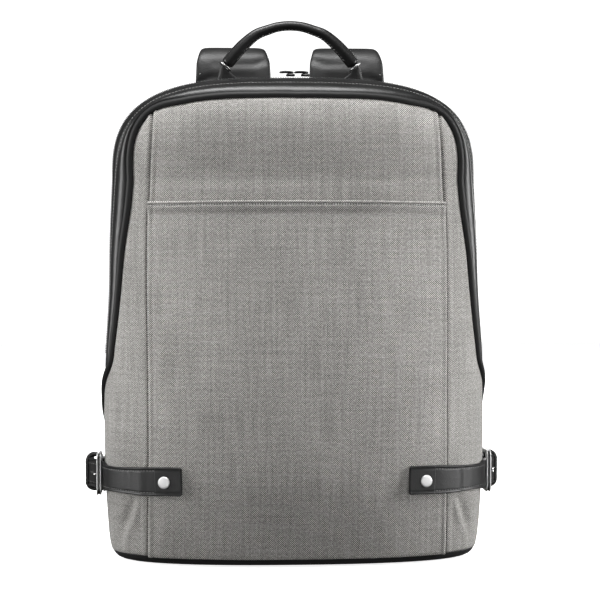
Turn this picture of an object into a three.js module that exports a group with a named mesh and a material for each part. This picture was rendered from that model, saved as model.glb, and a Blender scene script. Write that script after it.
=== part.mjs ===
// A laptop backpack: woven cloth front and sides, smooth leather gussets, straps and handle,
// a padded back and polished metal fittings. Millimetres, +Z up, the front faces -Y,
// and the origin is the middle of the base's underside.
import * as THREE from 'three';
import { mergeVertices } from 'three/addons/utils/BufferGeometryUtils.js';

const HALF_TURN = 180;

// Clearances
const GAP = 0.3;
const SEAM_GAP = 0.8;
const PIPING_GAP = 1.1;
const FOLD_GAP = 1.2;

// Body, as an empty shell
const BODY_HEIGHT = 419.5;
const BODY_HALF_WIDTH = 166.5;
const FRONT_DEPTH = 79;
const BACK_DEPTH = 56;
const SHOULDER_HEIGHT = 330;
const BAND_CENTRE_HEIGHT = 250;
const FRONT_ROUNDNESS = 2.4;
const BACK_ROUNDNESS = 4;
const CLOTH = 2;
const LEATHER = 1.8;

// Each row is one level section of the body, from the base to the shoulder
const SECTIONS = [
  { up: 0, width: 0.935, front: 0.79, back: 0.9 },
  { up: 0.035, width: 0.969, front: 0.85, back: 0.93 },
  { up: 0.12, width: 0.986, front: 0.92, back: 0.965 },
  { up: 0.3, width: 1, front: 1, back: 1 },
  { up: 0.5, width: 0.995, front: 0.985, back: 1 },
  { up: 0.7, width: 0.972, front: 0.9, back: 0.985 },
  { up: 0.85, width: 0.966, front: 0.81, back: 0.975 },
  { up: 1, width: 0.953, front: 0.72, back: 0.965 },
];

// How each measure closes over the top: a higher rise is a squarer corner
const WIDTH_DOME = { rise: 2.9, square: 3.2 };
const FRONT_DOME = { rise: 4.6, square: 2 };
const BACK_DOME = { rise: 6, square: 2 };

// Base
const BASE_HEIGHT = 8;
const BASE_WALL = 2.4;
const BASE_INSET = 9;

// Vertical seams that part the front from the sides
const SEAM_HALF_WIDTH = 128;
const SEAM_ROWS = [
  { up: 0, share: 1 },
  { up: 0.3, share: 0.99 },
  { up: 0.7, share: 1 },
  { up: 0.88, share: 0.985 },
  { up: 1, share: 0.967 },
];
const SEAM_TOP_DROP = 35.5;

// Slip pocket over the front
const POCKET_HEM_HEIGHT = 310;
const POCKET_CLOTH = 1.8;
const POCKET_FULLNESS = 7;
const POCKET_HEM_DEPTH = 9;
const POCKET_HEM_ROLL = 1.2;

// Piping along the front edge of the gusset, as the depth of its middle: the first
// column is an angle round the top, or below it a height under the band's centre
const PIPING_RADIUS = 2.8;
const PIPING_SIDES = 6;
const PIPING_END_HEIGHT = 106;
const PIPING_ROWS = [
  { station: -144, depth: 0.5 },
  { station: -122, depth: 0.21 },
  { station: -98, depth: -0.09 },
  { station: -80, depth: -0.31 },
  { station: -62, depth: -0.35 },
  { station: -16, depth: -0.372 },
  { station: 4, depth: -0.38 },
  { station: 20, depth: -0.4 },
  { station: 35, depth: -0.38 },
  { station: 46, depth: -0.378 },
  { station: 50, depth: -0.4 },
  { station: 57, depth: -0.48 },
  { station: 74, depth: -0.557 },
  { station: 90, depth: -0.575 },
];

// Gusset, zip and back edge, as depths behind the widest line of the body
const ZIP_FRONT = -3;
const ZIP_WIDTH = 13;
const ZIP_TAPE = 1;
const ZIP_TEETH_WIDTH = 5;
const ZIP_TEETH_HEIGHT = 1.8;
const ZIP_END_HEIGHT = 178;
const BACK_EDGE = 44;
const GUSSET_TIP_HEIGHT = 115;

// Padded back
const BACK_PAD = 9;
const BACK_PAD_EDGE = 2;

// Side straps with their snaps
const STRAP_HEIGHT = 74;
const STRAP_WIDTH = 24.5;
const STRAP_THICKNESS = 2.4;
const STRAP_TAB_END = { left: 97, right: 91 };
const STRAP_TAIL_DEPTH = 46;
const STRAP_TAIL_STAND = 12.3;
const STRAP_STAND = 0.6;
const STRAP_LIFT_DEPTH = -11;
const STRAP_TURN_SHARE = 0.93;
const SNAP_FROM_END = 14;
const SNAP_RADIUS = 5.25;
const SNAP_HEIGHT = 2.4;

// Buckles on the sides
const BUCKLE_HEIGHT = 37.6;
const BUCKLE_LENGTH = 30;
const BUCKLE_THICKNESS = 4;
const BUCKLE_BAR = 3.8;
const PRONG_RADIUS = 1.2;
const PRONG_STAND = 1.7;

// Keepers round the strap tails
const KEEPER_HEIGHT = 34.5;
const KEEPER_STAND = 18.7;
const KEEPER_LEATHER = 3;
const KEEPER_WIDTH = 10;
const KEEPER_DEPTH = 24;
const KEEPER_CORNER = 6.5;

// Carry handle over the top
const HANDLE_DEPTH = 22;
const HANDLE_ARCH = 35;
const HANDLE_END_RISE = 13;
const HANDLE_HALF_SPAN = 57;
const HANDLE_LEAN = -2;
const HANDLE_ROWS = [
  { out: 0, up: 1 },
  { out: 0.2, up: 0.968 },
  { out: 0.35, up: 0.893 },
  { out: 0.52, up: 0.785 },
  { out: 0.7, up: 0.555 },
  { out: 0.86, up: 0.28 },
  { out: 1, up: 0 },
];
const HANDLE_TOP_RADIUS = 4.3;
const HANDLE_END_RADIUS = 5.6;
const HANDLE_RING_WIRE = 0.9;
const HANDLE_TAB_WIDTH = 24;
const HANDLE_TAB_LEATHER = 5;
const HANDLE_TAB_PLACE = 53.5;

// Shoulder straps: each row is one place along the padded strap
const STRAP_PAD_WIDTH = 68;
const STRAP_PAD_THICKNESS = 10;
const STRAP_PAD_REACH = 122;
const STRAP_PAD_RISE = 30.5;
const STRAP_PAD_SEWN_DOWN = 15.5;
const STRAP_PAD_SPREAD = 92;
const STRAP_PAD_ROWS = [
  { up: 0.82, out: 0.56, back: 0.482, wide: 1, thick: 0.6 },
  { up: 0.875, out: 0.56, back: 0.478, wide: 1, thick: 0.6 },
  { up: 0.935, out: 0.56, back: 0.49, wide: 1, thick: 0.65 },
  { up: 0.985, out: 0.56, back: 0.56, wide: 0.88, thick: 0.7 },
  { up: 1, out: 0.56, back: 0.66, wide: 0.84, thick: 0.75 },
  { up: 0.985, out: 0.57, back: 0.77, wide: 0.84, thick: 0.85 },
  { up: 0.93, out: 0.6, back: 0.88, wide: 0.84, thick: 1 },
  { up: 0.82, out: 0.7, back: 0.97, wide: 0.84, thick: 1 },
  { up: 0.68, out: 0.79, back: 1, wide: 0.84, thick: 1 },
  { up: 0.54, out: 0.89, back: 0.98, wide: 0.78, thick: 1 },
  { up: 0.44, out: 0.96, back: 0.93, wide: 0.66, thick: 0.95 },
  { up: 0.385, out: 1, back: 0.885, wide: 0.5, thick: 0.7 },
];

// Lower webbing of the shoulder straps, with its adjuster and its anchor on the body
const WEBBING_WIDTH = 25;
const WEBBING_THICKNESS = 1.8;
const ADJUSTER_WIDTH = 36;
const ADJUSTER_LENGTH = 24;
const ADJUSTER_THICKNESS = 4;
const ADJUSTER_BAR = 4.5;
const ANCHOR_OUT = 118;
const ANCHOR_HEIGHT = 42;
const ANCHOR_LENGTH = 30;
const ANCHOR_THICKNESS = 3;

// Zip sliders and their wire pullers on the top
const SLIDER_PLACES = { left: -3, right: 10 };
const SLIDER_LENGTH = 8;
const SLIDER_WIDTH = 8;
const SLIDER_THICKNESS = 2.6;
const PULLER_LENGTH = 9;
const PULLER_HALF_WIDTH = 3.6;
const PULLER_WIRE = 0.7;

// Smooth curve through the rows of a table
function follow(rows, key, column, at) {
  const last = rows.length - 1;
  if (at <= rows[0][key]) return rows[0][column];
  if (at >= rows[last][key]) return rows[last][column];
  let row = 0;
  while (rows[row + 1][key] < at) row += 1;
  const slope = (middle) => {
    const before = rows[Math.max(middle - 1, 0)];
    const after = rows[Math.min(middle + 1, last)];
    return (after[column] - before[column]) / (after[key] - before[key]);
  };
  const span = rows[row + 1][key] - rows[row][key];
  const t = (at - rows[row][key]) / span;
  const rise = t * t * (3 - 2 * t);
  const start = rows[row][column] * (1 - rise) + rows[row + 1][column] * rise;
  return start + span * t * (1 - t) * (slope(row) * (1 - t) - slope(row + 1) * t);
}

const seamTopHeight = BODY_HEIGHT - SEAM_TOP_DROP;
const clamp = (value, low, high) => Math.min(Math.max(value, low), high);
const mix = (from, to, share) => from + (to - from) * share;
const vector = (x, y, z) => new THREE.Vector3(x, y, z);

// Soft step from 0 to 1 between two places
function ease(from, to, at) {
  const t = clamp((at - from) / (to - from), 0, 1);
  return t * t * (3 - 2 * t);
}

function closing(dome, z) {
  const t = clamp((z - SHOULDER_HEIGHT) / (BODY_HEIGHT - SHOULDER_HEIGHT), 0, 1);
  return Math.pow(1 - Math.pow(t, dome.rise), 1 / dome.square);
}

function measure(column, full, dome, z) {
  const up = clamp(z / SHOULDER_HEIGHT, 0, 1);
  return full * follow(SECTIONS, 'up', column, up) * closing(dome, z);
}

const halfWidthAt = (z) => measure('width', BODY_HALF_WIDTH, WIDTH_DOME, z);
const frontDepthAt = (z) => measure('front', FRONT_DEPTH, FRONT_DOME, z);
const backDepthAt = (z) => measure('back', BACK_DEPTH, BACK_DOME, z);
const bend = (share, power) => Math.pow(Math.max(0, 1 - Math.pow(Math.min(share, 1), power)), 1 / power);

// Places on the outside of the body
function frontPoint(x, z) {
  return vector(x, -frontDepthAt(z) * bend(Math.abs(x) / halfWidthAt(z), FRONT_ROUNDNESS), z);
}

function backPoint(x, z) {
  return vector(x, backDepthAt(z) * bend(Math.abs(x) / halfWidthAt(z), BACK_ROUNDNESS), z);
}

function sidePoint(side, y, z) {
  const depth = y < 0 ? frontDepthAt(z) : backDepthAt(z);
  const power = y < 0 ? FRONT_ROUNDNESS : BACK_ROUNDNESS;
  return vector(side * halfWidthAt(z) * bend(Math.abs(y) / depth, power), y, z);
}

function isInside(point) {
  if (point.z <= 0 || point.z >= BODY_HEIGHT) return false;
  const depth = point.y < 0 ? frontDepthAt(point.z) : backDepthAt(point.z);
  const power = point.y < 0 ? FRONT_ROUNDNESS : BACK_ROUNDNESS;
  const across = Math.pow(Math.abs(point.x) / halfWidthAt(point.z), power);
  return across + Math.pow(Math.abs(point.y) / depth, power) < 1;
}

// A place on the band that goes up one side, over the top and down the other. The station is
// an angle from 0 to 180 degrees, or on the sides below it a height under the band's centre
function bandPoint(station, y) {
  if (station < 0) return sidePoint(1, y, BAND_CENTRE_HEIGHT + station);
  if (station > HALF_TURN) return sidePoint(-1, y, BAND_CENTRE_HEIGHT + HALF_TURN - station);
  const angle = THREE.MathUtils.degToRad(station);
  const at = (reach) => vector(reach * Math.cos(angle), y, BAND_CENTRE_HEIGHT + reach * Math.sin(angle));
  let near = 0;
  let far = BODY_HEIGHT;
  for (let step = 0; step < 44; step += 1) {
    const middle = (near + far) / 2;
    if (isInside(at(middle))) near = middle;
    else far = middle;
  }
  return at((near + far) / 2);
}

// Moves away from a line on the band's surface by a length, which more depth takes where the
// line runs aslant
function walk(station, lineDepth, length) {
  const step = 0.2;
  const y = lineDepth(station);
  const stretch = bandPoint(station, y + step).distanceTo(bandPoint(station, y - step)) / (2 * step);
  const drop = lineDepth(station + step) - lineDepth(station - step);
  const run = bandPoint(station + step, y).distanceTo(bandPoint(station - step, y));
  return y + (length * Math.hypot(1, (drop * stretch) / run)) / Math.max(stretch, 1);
}

const mirrored = (station) => (station > HALF_TURN / 2 ? HALF_TURN - station : station);
const pipingDepth = (station) => FRONT_DEPTH * follow(PIPING_ROWS, 'station', 'depth', mirrored(station));
const clothEdgeDepth = (station) => walk(station, pipingDepth, -PIPING_RADIUS - PIPING_GAP);
const gussetEdgeDepth = (station) => walk(station, pipingDepth, PIPING_RADIUS + PIPING_GAP);

// The station at which the cloth's edge stands at some width, or at some height on the side
function stationWhere(measureAt, value, low, high) {
  let near = low;
  let far = high;
  for (let step = 0; step < 30; step += 1) {
    const middle = (near + far) / 2;
    const edge = bandPoint(middle, clothEdgeDepth(middle));
    if (measureAt(edge) > value) near = middle;
    else far = middle;
  }
  return (near + far) / 2;
}

const clothTopAt = (x) => {
  const station = stationWhere((edge) => edge.x, Math.abs(x), 20, 90);
  return bandPoint(station, clothEdgeDepth(station)).z;
};
const seamHalfWidth = (z) => SEAM_HALF_WIDTH * follow(SEAM_ROWS, 'up', 'share', z / seamTopHeight);

// Solid from corner points and faces, turned so that its faces point out
function solid(points, faces) {
  let volume = 0;
  faces.forEach(([a, b, c]) => {
    volume += points[a].dot(points[b].clone().cross(points[c]));
  });
  const ordered = volume < 0 ? faces.map(([a, b, c]) => [a, c, b]) : faces;
  const geometry = new THREE.BufferGeometry();
  geometry.setAttribute('position', new THREE.Float32BufferAttribute(points.flatMap((p) => [p.x, p.y, p.z]), 3));
  geometry.setIndex(ordered.flat());
  return geometry;
}

function quad(faces, a, b, c, d) {
  faces.push([a, b, c], [a, c, d]);
}

// A wall of even thickness on a curved surface: pointAt takes two shares from 0 to 1
function wall(pointAt, rows, columns, stand, thickness) {
  const centre = vector(0, 0, BAND_CENTRE_HEIGHT);
  const step = 0.002;
  const points = [];
  const normalAt = (s, t) => {
    const along = pointAt(Math.min(s + step, 1), t).sub(pointAt(Math.max(s - step, 0), t));
    const across = pointAt(s, Math.min(t + step, 1)).sub(pointAt(s, Math.max(t - step, 0)));
    const normal = along.cross(across).normalize();
    return normal.dot(pointAt(s, t).sub(centre)) < 0 ? normal.negate() : normal;
  };
  const layer = (inward) => {
    rows.forEach((s) => columns.forEach((t) => {
      const thick = typeof thickness === 'function' ? thickness(s, t) : thickness;
      const rise = (typeof stand === 'function' ? stand(s, t) : stand) - (inward ? thick : 0);
      points.push(pointAt(s, t).addScaledVector(normalAt(s, t), rise));
    }));
  };
  layer(false);
  layer(true);
  const wide = columns.length;
  const size = rows.length * wide;
  const faces = [];
  for (let row = 0; row + 1 < rows.length; row += 1) {
    for (let column = 0; column + 1 < wide; column += 1) {
      const corner = row * wide + column;
      quad(faces, corner, corner + 1, corner + wide + 1, corner + wide);
      quad(faces, size + corner, size + corner + wide, size + corner + wide + 1, size + corner + 1);
    }
  }
  const rim = [];
  for (let column = 0; column + 1 < wide; column += 1) rim.push(column);
  for (let row = 0; row + 1 < rows.length; row += 1) rim.push(row * wide + wide - 1);
  for (let column = wide - 1; column > 0; column -= 1) rim.push(size - wide + column);
  for (let row = rows.length - 1; row > 0; row -= 1) rim.push(row * wide);
  rim.forEach((corner, index) => {
    const next = rim[(index + 1) % rim.length];
    quad(faces, next, corner, size + corner, size + next);
  });
  return solid(points, faces);
}

const shares = (count) => Array.from({ length: count + 1 }, (_, index) => index / count);

// A section carried along a list of frames, each with a middle, a width axis and a depth axis
function sweep(frames, sectionAt, closed = false) {
  const points = [];
  frames.forEach((frame, index) => {
    sectionAt(index / (frames.length - 1)).forEach(([wide, deep]) => {
      points.push(frame.middle.clone().addScaledVector(frame.wide, wide).addScaledVector(frame.deep, deep));
    });
  });
  const sides = sectionAt(0).length;
  const faces = [];
  const rings = closed ? frames.length : frames.length - 1;
  for (let ring = 0; ring < rings; ring += 1) {
    const next = (ring + 1) % frames.length;
    for (let side = 0; side < sides; side += 1) {
      const turn = (side + 1) % sides;
      quad(faces, ring * sides + side, ring * sides + turn, next * sides + turn, next * sides + side);
    }
  }
  if (!closed) {
    const end = (frames.length - 1) * sides;
    for (let side = 1; side + 1 < sides; side += 1) {
      faces.push([0, side + 1, side], [end, end + side, end + side + 1]);
    }
  }
  return solid(points, faces);
}

// Flat section with softened corners
function band(width, thickness, soft = 0.35) {
  const half = width / 2;
  const deep = thickness / 2;
  const cut = thickness * soft;
  return [
    [-half + cut, -deep], [half - cut, -deep], [half, -deep + cut], [half, deep - cut],
    [half - cut, deep], [-half + cut, deep], [-half, deep - cut], [-half, -deep + cut],
  ];
}

// Frames along a curve whose depth axis is kept square to a given width axis
function framesAlong(path, count, wideAt) {
  return shares(count).map((t) => {
    const tangent = path.getTangentAt(t);
    const wide = wideAt(t).clone().addScaledVector(tangent, -wideAt(t).dot(tangent)).normalize();
    return { middle: path.getPointAt(t), wide, deep: tangent.clone().cross(wide).normalize() };
  });
}

function roundTube(path, steps, radius, sides, closed = false) {
  const circle = new THREE.Shape();
  circle.absarc(0, 0, radius, 0, 2 * Math.PI, false);
  const section = new THREE.Shape(circle.getSpacedPoints(sides).slice(0, sides));
  const tube = new THREE.ExtrudeGeometry(section, { steps, extrudePath: path, curveSegments: 1, closed });
  tube.deleteAttribute('normal');
  tube.deleteAttribute('uv');
  return mergeVertices(tube, 1e-4);
}

const smoothPath = (points, closed = false) => new THREE.CatmullRomCurve3(points, closed, 'centripetal');

const finish = (color, roughness, metalness = 0) => new THREE.MeshStandardMaterial({ color, roughness, metalness });
const FINISHES = {
  cloth: () => finish(0x9b958f, 0.9),
  leather: () => finish(0x232324, 0.38),
  grainLeather: () => finish(0x2c2c2d, 0.6),
  mesh: () => finish(0x1d1d1f, 0.85),
  webbing: () => finish(0x19191a, 0.75),
  base: () => finish(0x1f1f20, 0.55),
  metal: () => finish(0xd8d8da, 0.16, 1),
  darkMetal: () => finish(0x1a1a1b, 0.35, 0.8),
  plastic: () => finish(0x161617, 0.5),
};

const backpack = new THREE.Group();
const sides = [{ name: 'left', sign: -1 }, { name: 'right', sign: 1 }];

function add(name, geometry, finishName) {
  const mesh = new THREE.Mesh(geometry, FINISHES[finishName]());
  mesh.name = name;
  backpack.add(mesh);
  return mesh;
}

// Front panel, which reaches down behind the pocket
const clothBottom = BASE_HEIGHT + GAP;

function frontPlace(across, up, top) {
  const z = mix(clothBottom, top, up);
  return frontPoint(across * (seamHalfWidth(Math.min(z, seamTopHeight)) - SEAM_GAP / 2), z);
}

function frontPanel() {
  const reach = seamHalfWidth(seamTopHeight) - SEAM_GAP / 2;
  const place = (up, across) => frontPlace(2 * across - 1, up, clothTopAt((2 * across - 1) * reach));
  return wall(place, shares(13), shares(12), 0, CLOTH);
}

// Front pocket, full in its middle and sewn down along the seams
const pocketStand = (up, across) => {
  const rim = Math.pow(Math.sin(Math.PI * across), 0.7) * ease(0, 0.25, up);
  const height = mix(clothBottom, POCKET_HEM_HEIGHT, up);
  const hem = height > POCKET_HEM_HEIGHT - POCKET_HEM_DEPTH ? POCKET_HEM_ROLL : 0;
  return FOLD_GAP + POCKET_CLOTH + POCKET_FULLNESS * rim + hem;
};

function frontPocket() {
  const place = (up, across) => frontPlace(2 * across - 1, up, POCKET_HEM_HEIGHT);
  const hem = 1 - POCKET_HEM_DEPTH / (POCKET_HEM_HEIGHT - clothBottom);
  const rows = [...shares(9).map((t) => t * (hem - 0.004)), hem, 1];
  const thick = (up) => POCKET_CLOTH + (up >= hem ? POCKET_HEM_ROLL : 0);
  return wall(place, rows, shares(12), pocketStand, thick);
}

// Side panels, from the front seam round to the back edge, under the piping
function sideRearDepth(z) {
  if (z > BAND_CENTRE_HEIGHT) return clothEdgeDepth(stationWhere((edge) => -edge.z, -z, 0, 80));
  const edge = clothEdgeDepth(z - BAND_CENTRE_HEIGHT);
  return Math.min(edge, BACK_EDGE - SEAM_GAP);
}

function sidePanel(side) {
  const top = seamTopHeight - 3 * SEAM_GAP;
  const place = (up, across) => {
    const z = mix(clothBottom, top, up);
    const seam = frontPoint(seamHalfWidth(z) + SEAM_GAP / 2, z).y;
    return sidePoint(side, mix(seam, Math.max(sideRearDepth(z), seam + 1), Math.pow(across, 1.15)), z);
  };
  const rows = [0, 0.05, 0.15, 0.25, 0.285, 0.32, 0.355, 0.39, 0.43, 0.5, 0.6, 0.7, 0.8, 0.9, 1];
  return wall(place, rows, shares(7), 0, CLOTH);
}

// Stations all round the band, closer together at the top corners
function stations(lowest, steps = 5) {
  const down = BAND_CENTRE_HEIGHT - lowest;
  const low = shares(steps).map((t) => -down * (1 - t)).slice(0, -1);
  const quarter = [0, 10, 20, 29, 35, 40, 44.5, 49, 54, 61, 70, 80, 90];
  const half = [...low, ...quarter];
  return [...half, ...half.slice(0, -1).reverse().map((station) => HALF_TURN - station)];
}

// A band between two depths: each depth is worked out from the station
function bandWall(list, fromDepth, toDepth, columns, stand, thickness) {
  const place = (s, across) => {
    const index = clamp(s * (list.length - 1), 0, list.length - 1);
    const low = Math.floor(Math.min(index, list.length - 2));
    const station = mix(list[low], list[low + 1], index - low);
    return bandPoint(station, mix(fromDepth(station), toDepth(station), across));
  };
  return wall(place, shares(list.length - 1), shares(columns), stand, thickness);
}

const heightOf = (station) => BAND_CENTRE_HEIGHT + Math.min(mirrored(station), 0);

function frontGusset() {
  const tip = shares(4).map((t) => mix(GUSSET_TIP_HEIGHT, ZIP_END_HEIGHT - 2 * GAP, t));
  const low = [...tip, ZIP_END_HEIGHT, ZIP_END_HEIGHT + 6].map((z) => z - BAND_CENTRE_HEIGHT);
  const inner = stations(ZIP_END_HEIGHT).slice(1, -1);
  const list = [...low, ...inner, ...low.slice().reverse().map((station) => HALF_TURN - station)];
  const rear = (station) => {
    if (heightOf(station) < ZIP_END_HEIGHT - GAP) return BACK_EDGE - SEAM_GAP;
    return ZIP_FRONT - GAP;
  };
  return bandWall(list, gussetEdgeDepth, rear, 3, 0, LEATHER);
}

function rearGusset() {
  const list = stations(ZIP_END_HEIGHT + GAP);
  return bandWall(list, () => ZIP_FRONT + ZIP_WIDTH + GAP, () => BACK_EDGE - SEAM_GAP, 3, 0, LEATHER);
}

function zipTape() {
  const list = stations(ZIP_END_HEIGHT + GAP);
  return bandWall(list, () => ZIP_FRONT, () => ZIP_FRONT + ZIP_WIDTH, 1, -LEATHER / 2, ZIP_TAPE);
}

function zipTeeth() {
  const middle = ZIP_FRONT + ZIP_WIDTH / 2;
  const half = ZIP_TEETH_WIDTH / 2;
  const list = stations(ZIP_END_HEIGHT + GAP);
  const stand = -LEATHER / 2 + GAP + ZIP_TEETH_HEIGHT;
  return bandWall(list, () => middle - half, () => middle + half, 1, stand, ZIP_TEETH_HEIGHT);
}

function frontPiping() {
  const list = stations(PIPING_END_HEIGHT, 12);
  const path = smoothPath(list.map((station) => bandPoint(station, pipingDepth(station))));
  return roundTube(path, 66, PIPING_RADIUS, PIPING_SIDES);
}

// Padded back: a slab inside the back edge, thick in its middle
function backPanel() {
  const around = 40;
  const rings = [0, 0.4, 0.72, 0.9, 1];
  const centreHeight = BODY_HEIGHT / 2;
  const edgeDepth = BACK_EDGE + SEAM_GAP;
  const lowest = BASE_HEIGHT + GAP;
  const onBack = (angle, reach) => vector(reach * Math.cos(angle), 0, centreHeight + reach * Math.sin(angle));
  const edgeReach = (angle) => {
    let near = 0;
    let far = BODY_HEIGHT;
    for (let step = 0; step < 40; step += 1) {
      const middle = (near + far) / 2;
      const at = onBack(angle, middle).setY(edgeDepth);
      if (at.z > lowest && isInside(at)) near = middle;
      else far = middle;
    }
    return near;
  };
  const corner = sidePoint(1, edgeDepth, lowest);
  const cornerAngle = Math.atan2(corner.z - centreHeight, corner.x);
  const turnAngle = (turn) => {
    const angle = -Math.PI / 2 + (2 * Math.PI * turn) / around;
    const nearCorner = (wanted) => Math.abs(angle - wanted) < Math.PI / around;
    if (nearCorner(cornerAngle)) return cornerAngle;
    return nearCorner(Math.PI - cornerAngle) ? Math.PI - cornerAngle : angle;
  };
  const points = [];
  const layer = (inner) => rings.slice(1).forEach((ring) => {
    for (let turn = 0; turn < around; turn += 1) {
      const angle = turnAngle(turn);
      const at = onBack(angle, edgeReach(angle) * ring);
      const pad = mix(BACK_PAD, BACK_PAD_EDGE, ease(0.75, 1, ring));
      points.push(at.setY(backPoint(at.x, at.z).y - (inner ? pad : 0)));
    }
  });
  const middle = backPoint(0, centreHeight);
  points.push(middle, middle.clone().add(vector(0, -BACK_PAD, 0)));
  layer(false);
  layer(true);
  const faces = [];
  const count = rings.length - 1;
  const at = (level, ring, turn) => 2 + level * count * around + ring * around + (turn % around);
  for (let turn = 0; turn < around; turn += 1) {
    faces.push([0, at(0, 0, turn + 1), at(0, 0, turn)], [1, at(1, 0, turn), at(1, 0, turn + 1)]);
    for (let ring = 0; ring + 1 < count; ring += 1) {
      quad(faces, at(0, ring, turn), at(0, ring, turn + 1), at(0, ring + 1, turn + 1), at(0, ring + 1, turn));
      quad(faces, at(1, ring, turn), at(1, ring + 1, turn), at(1, ring + 1, turn + 1), at(1, ring, turn + 1));
    }
    quad(faces, at(0, count - 1, turn), at(0, count - 1, turn + 1), at(1, count - 1, turn + 1), at(1, count - 1, turn));
  }
  return solid(points, faces);
}

// Base: a shallow tray with a flat underside
function base() {
  const around = 48;
  const outline = (turn, z, inset) => {
    const angle = (2 * Math.PI * turn) / around;
    const front = Math.sin(angle) < 0;
    const power = front ? FRONT_ROUNDNESS : BACK_ROUNDNESS;
    const depth = (front ? frontDepthAt(z) : backDepthAt(z)) - inset;
    const wide = Math.sign(Math.cos(angle)) * Math.pow(Math.abs(Math.cos(angle)), 2 / power);
    const deep = Math.sign(Math.sin(angle)) * Math.pow(Math.abs(Math.sin(angle)), 2 / power);
    return vector(wide * (halfWidthAt(z) - inset), deep * depth, z);
  };
  const levels = [
    { z: 0, inset: BASE_INSET }, { z: 1.5, inset: BASE_INSET * 0.35 }, { z: 4.5, inset: 0.6 },
    { z: BASE_HEIGHT, inset: 0 }, { z: BASE_HEIGHT, inset: BASE_WALL },
    { z: BASE_WALL, inset: BASE_INSET + BASE_WALL },
  ];
  const points = [vector(0, 0, 0), vector(0, 0, BASE_WALL)];
  levels.forEach((level) => {
    for (let turn = 0; turn < around; turn += 1) points.push(outline(turn, level.z, level.inset));
  });
  const faces = [];
  const at = (level, turn) => 2 + level * around + (turn % around);
  const last = levels.length - 1;
  for (let turn = 0; turn < around; turn += 1) {
    faces.push([0, at(0, turn + 1), at(0, turn)], [1, at(last, turn), at(last, turn + 1)]);
    for (let level = 0; level < last; level += 1) {
      quad(faces, at(level, turn), at(level, turn + 1), at(level + 1, turn + 1), at(level + 1, turn));
    }
  }
  return solid(points, faces);
}

// Places round the level section at the side straps' height
const strapHalf = STRAP_WIDTH / 2;
const strapPocketUp = (STRAP_HEIGHT - clothBottom) / (POCKET_HEM_HEIGHT - clothBottom);
const sideSurface = halfWidthAt(STRAP_HEIGHT);
const strapSeam = seamHalfWidth(STRAP_HEIGHT);

// How far the cloth under the strap stands off the body's surface
function clothStand(x) {
  const across = clamp((Math.abs(x) / strapSeam + 1) / 2, 0, 1);
  const lift = pocketStand(Math.min(strapPocketUp + 0.05, 1), across);
  return lift * (1 - ease(strapSeam + 4, strapSeam + 16, Math.abs(x)));
}

function outward(place) {
  const step = 0.5;
  const before = frontPoint(place.x - step, place.z);
  const after = frontPoint(place.x + step, place.z);
  return vector(after.y - before.y, -(after.x - before.x), 0).normalize();
}

const buckleInner = sideSurface + STRAP_STAND + STRAP_THICKNESS + GAP;
const buckleOuter = buckleInner + BUCKLE_THICKNESS;

// The strap from its tab on the pocket, round the side, out through the buckle to its tail
function sideStrapPath(side) {
  const points = [];
  const stand = STRAP_STAND + STRAP_THICKNESS / 2;
  const start = STRAP_TAB_END[side < 0 ? 'left' : 'right'];
  const turnWide = sideSurface * STRAP_TURN_SHARE;
  shares(9).forEach((share) => {
    const x = mix(start, turnWide - 6, share);
    const at = frontPoint(x, STRAP_HEIGHT);
    points.push(at.clone().addScaledVector(outward(at), clothStand(x) + stand));
  });
  const turnDepth = frontPoint(turnWide, STRAP_HEIGHT).y;
  [0.25, 0.5, 0.75, 1].forEach((share) => {
    const y = mix(turnDepth, STRAP_LIFT_DEPTH - 2, share);
    const at = sidePoint(1, y, STRAP_HEIGHT);
    points.push(at.add(vector(stand, -stand * 0.4 * (1 - share), 0)));
  });
  const tail = sideSurface + STRAP_TAIL_STAND;
  const clear = buckleOuter + 2 * GAP + STRAP_THICKNESS / 2;
  points.push(vector(mix(buckleInner, buckleOuter, 0.35), 0, STRAP_HEIGHT));
  points.push(vector(clear, BUCKLE_LENGTH / 2 - BUCKLE_BAR - 1.5, STRAP_HEIGHT));
  points.push(vector(tail, KEEPER_DEPTH - KEEPER_WIDTH / 2, STRAP_HEIGHT));
  points.push(vector(tail + 0.6, KEEPER_DEPTH + KEEPER_WIDTH / 2, STRAP_HEIGHT));
  points.push(vector(tail - 1, STRAP_TAIL_DEPTH, STRAP_HEIGHT));
  return smoothPath(points.map((p) => vector(side * p.x, p.y, p.z)));
}

function sideStrap(side) {
  const upright = vector(0, 0, 1);
  const frames = framesAlong(sideStrapPath(side), 44, () => upright);
  return sweep(frames, (t) => band(STRAP_WIDTH - 3 * ease(0.985, 1, t) - 2 * ease(0.015, 0, t), STRAP_THICKNESS));
}

function rearStrap(side) {
  const points = [];
  const stand = 2 * GAP + STRAP_THICKNESS / 2;
  shares(8).forEach((t) => {
    const y = mix(BUCKLE_LENGTH / 2 - BUCKLE_BAR - 6, BACK_EDGE - 2, t);
    const step = 0.5;
    const tangent = sidePoint(1, y + step, STRAP_HEIGHT).sub(sidePoint(1, y - step, STRAP_HEIGHT));
    const normal = vector(tangent.y, -tangent.x, 0).normalize();
    const at = sidePoint(1, y, STRAP_HEIGHT).addScaledVector(normal, stand);
    points.push(vector(side * at.x, at.y, at.z));
  });
  const frames = framesAlong(smoothPath(points), 12, () => vector(0, 0, 1));
  return sweep(frames, () => band(STRAP_WIDTH, STRAP_THICKNESS));
}

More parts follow.
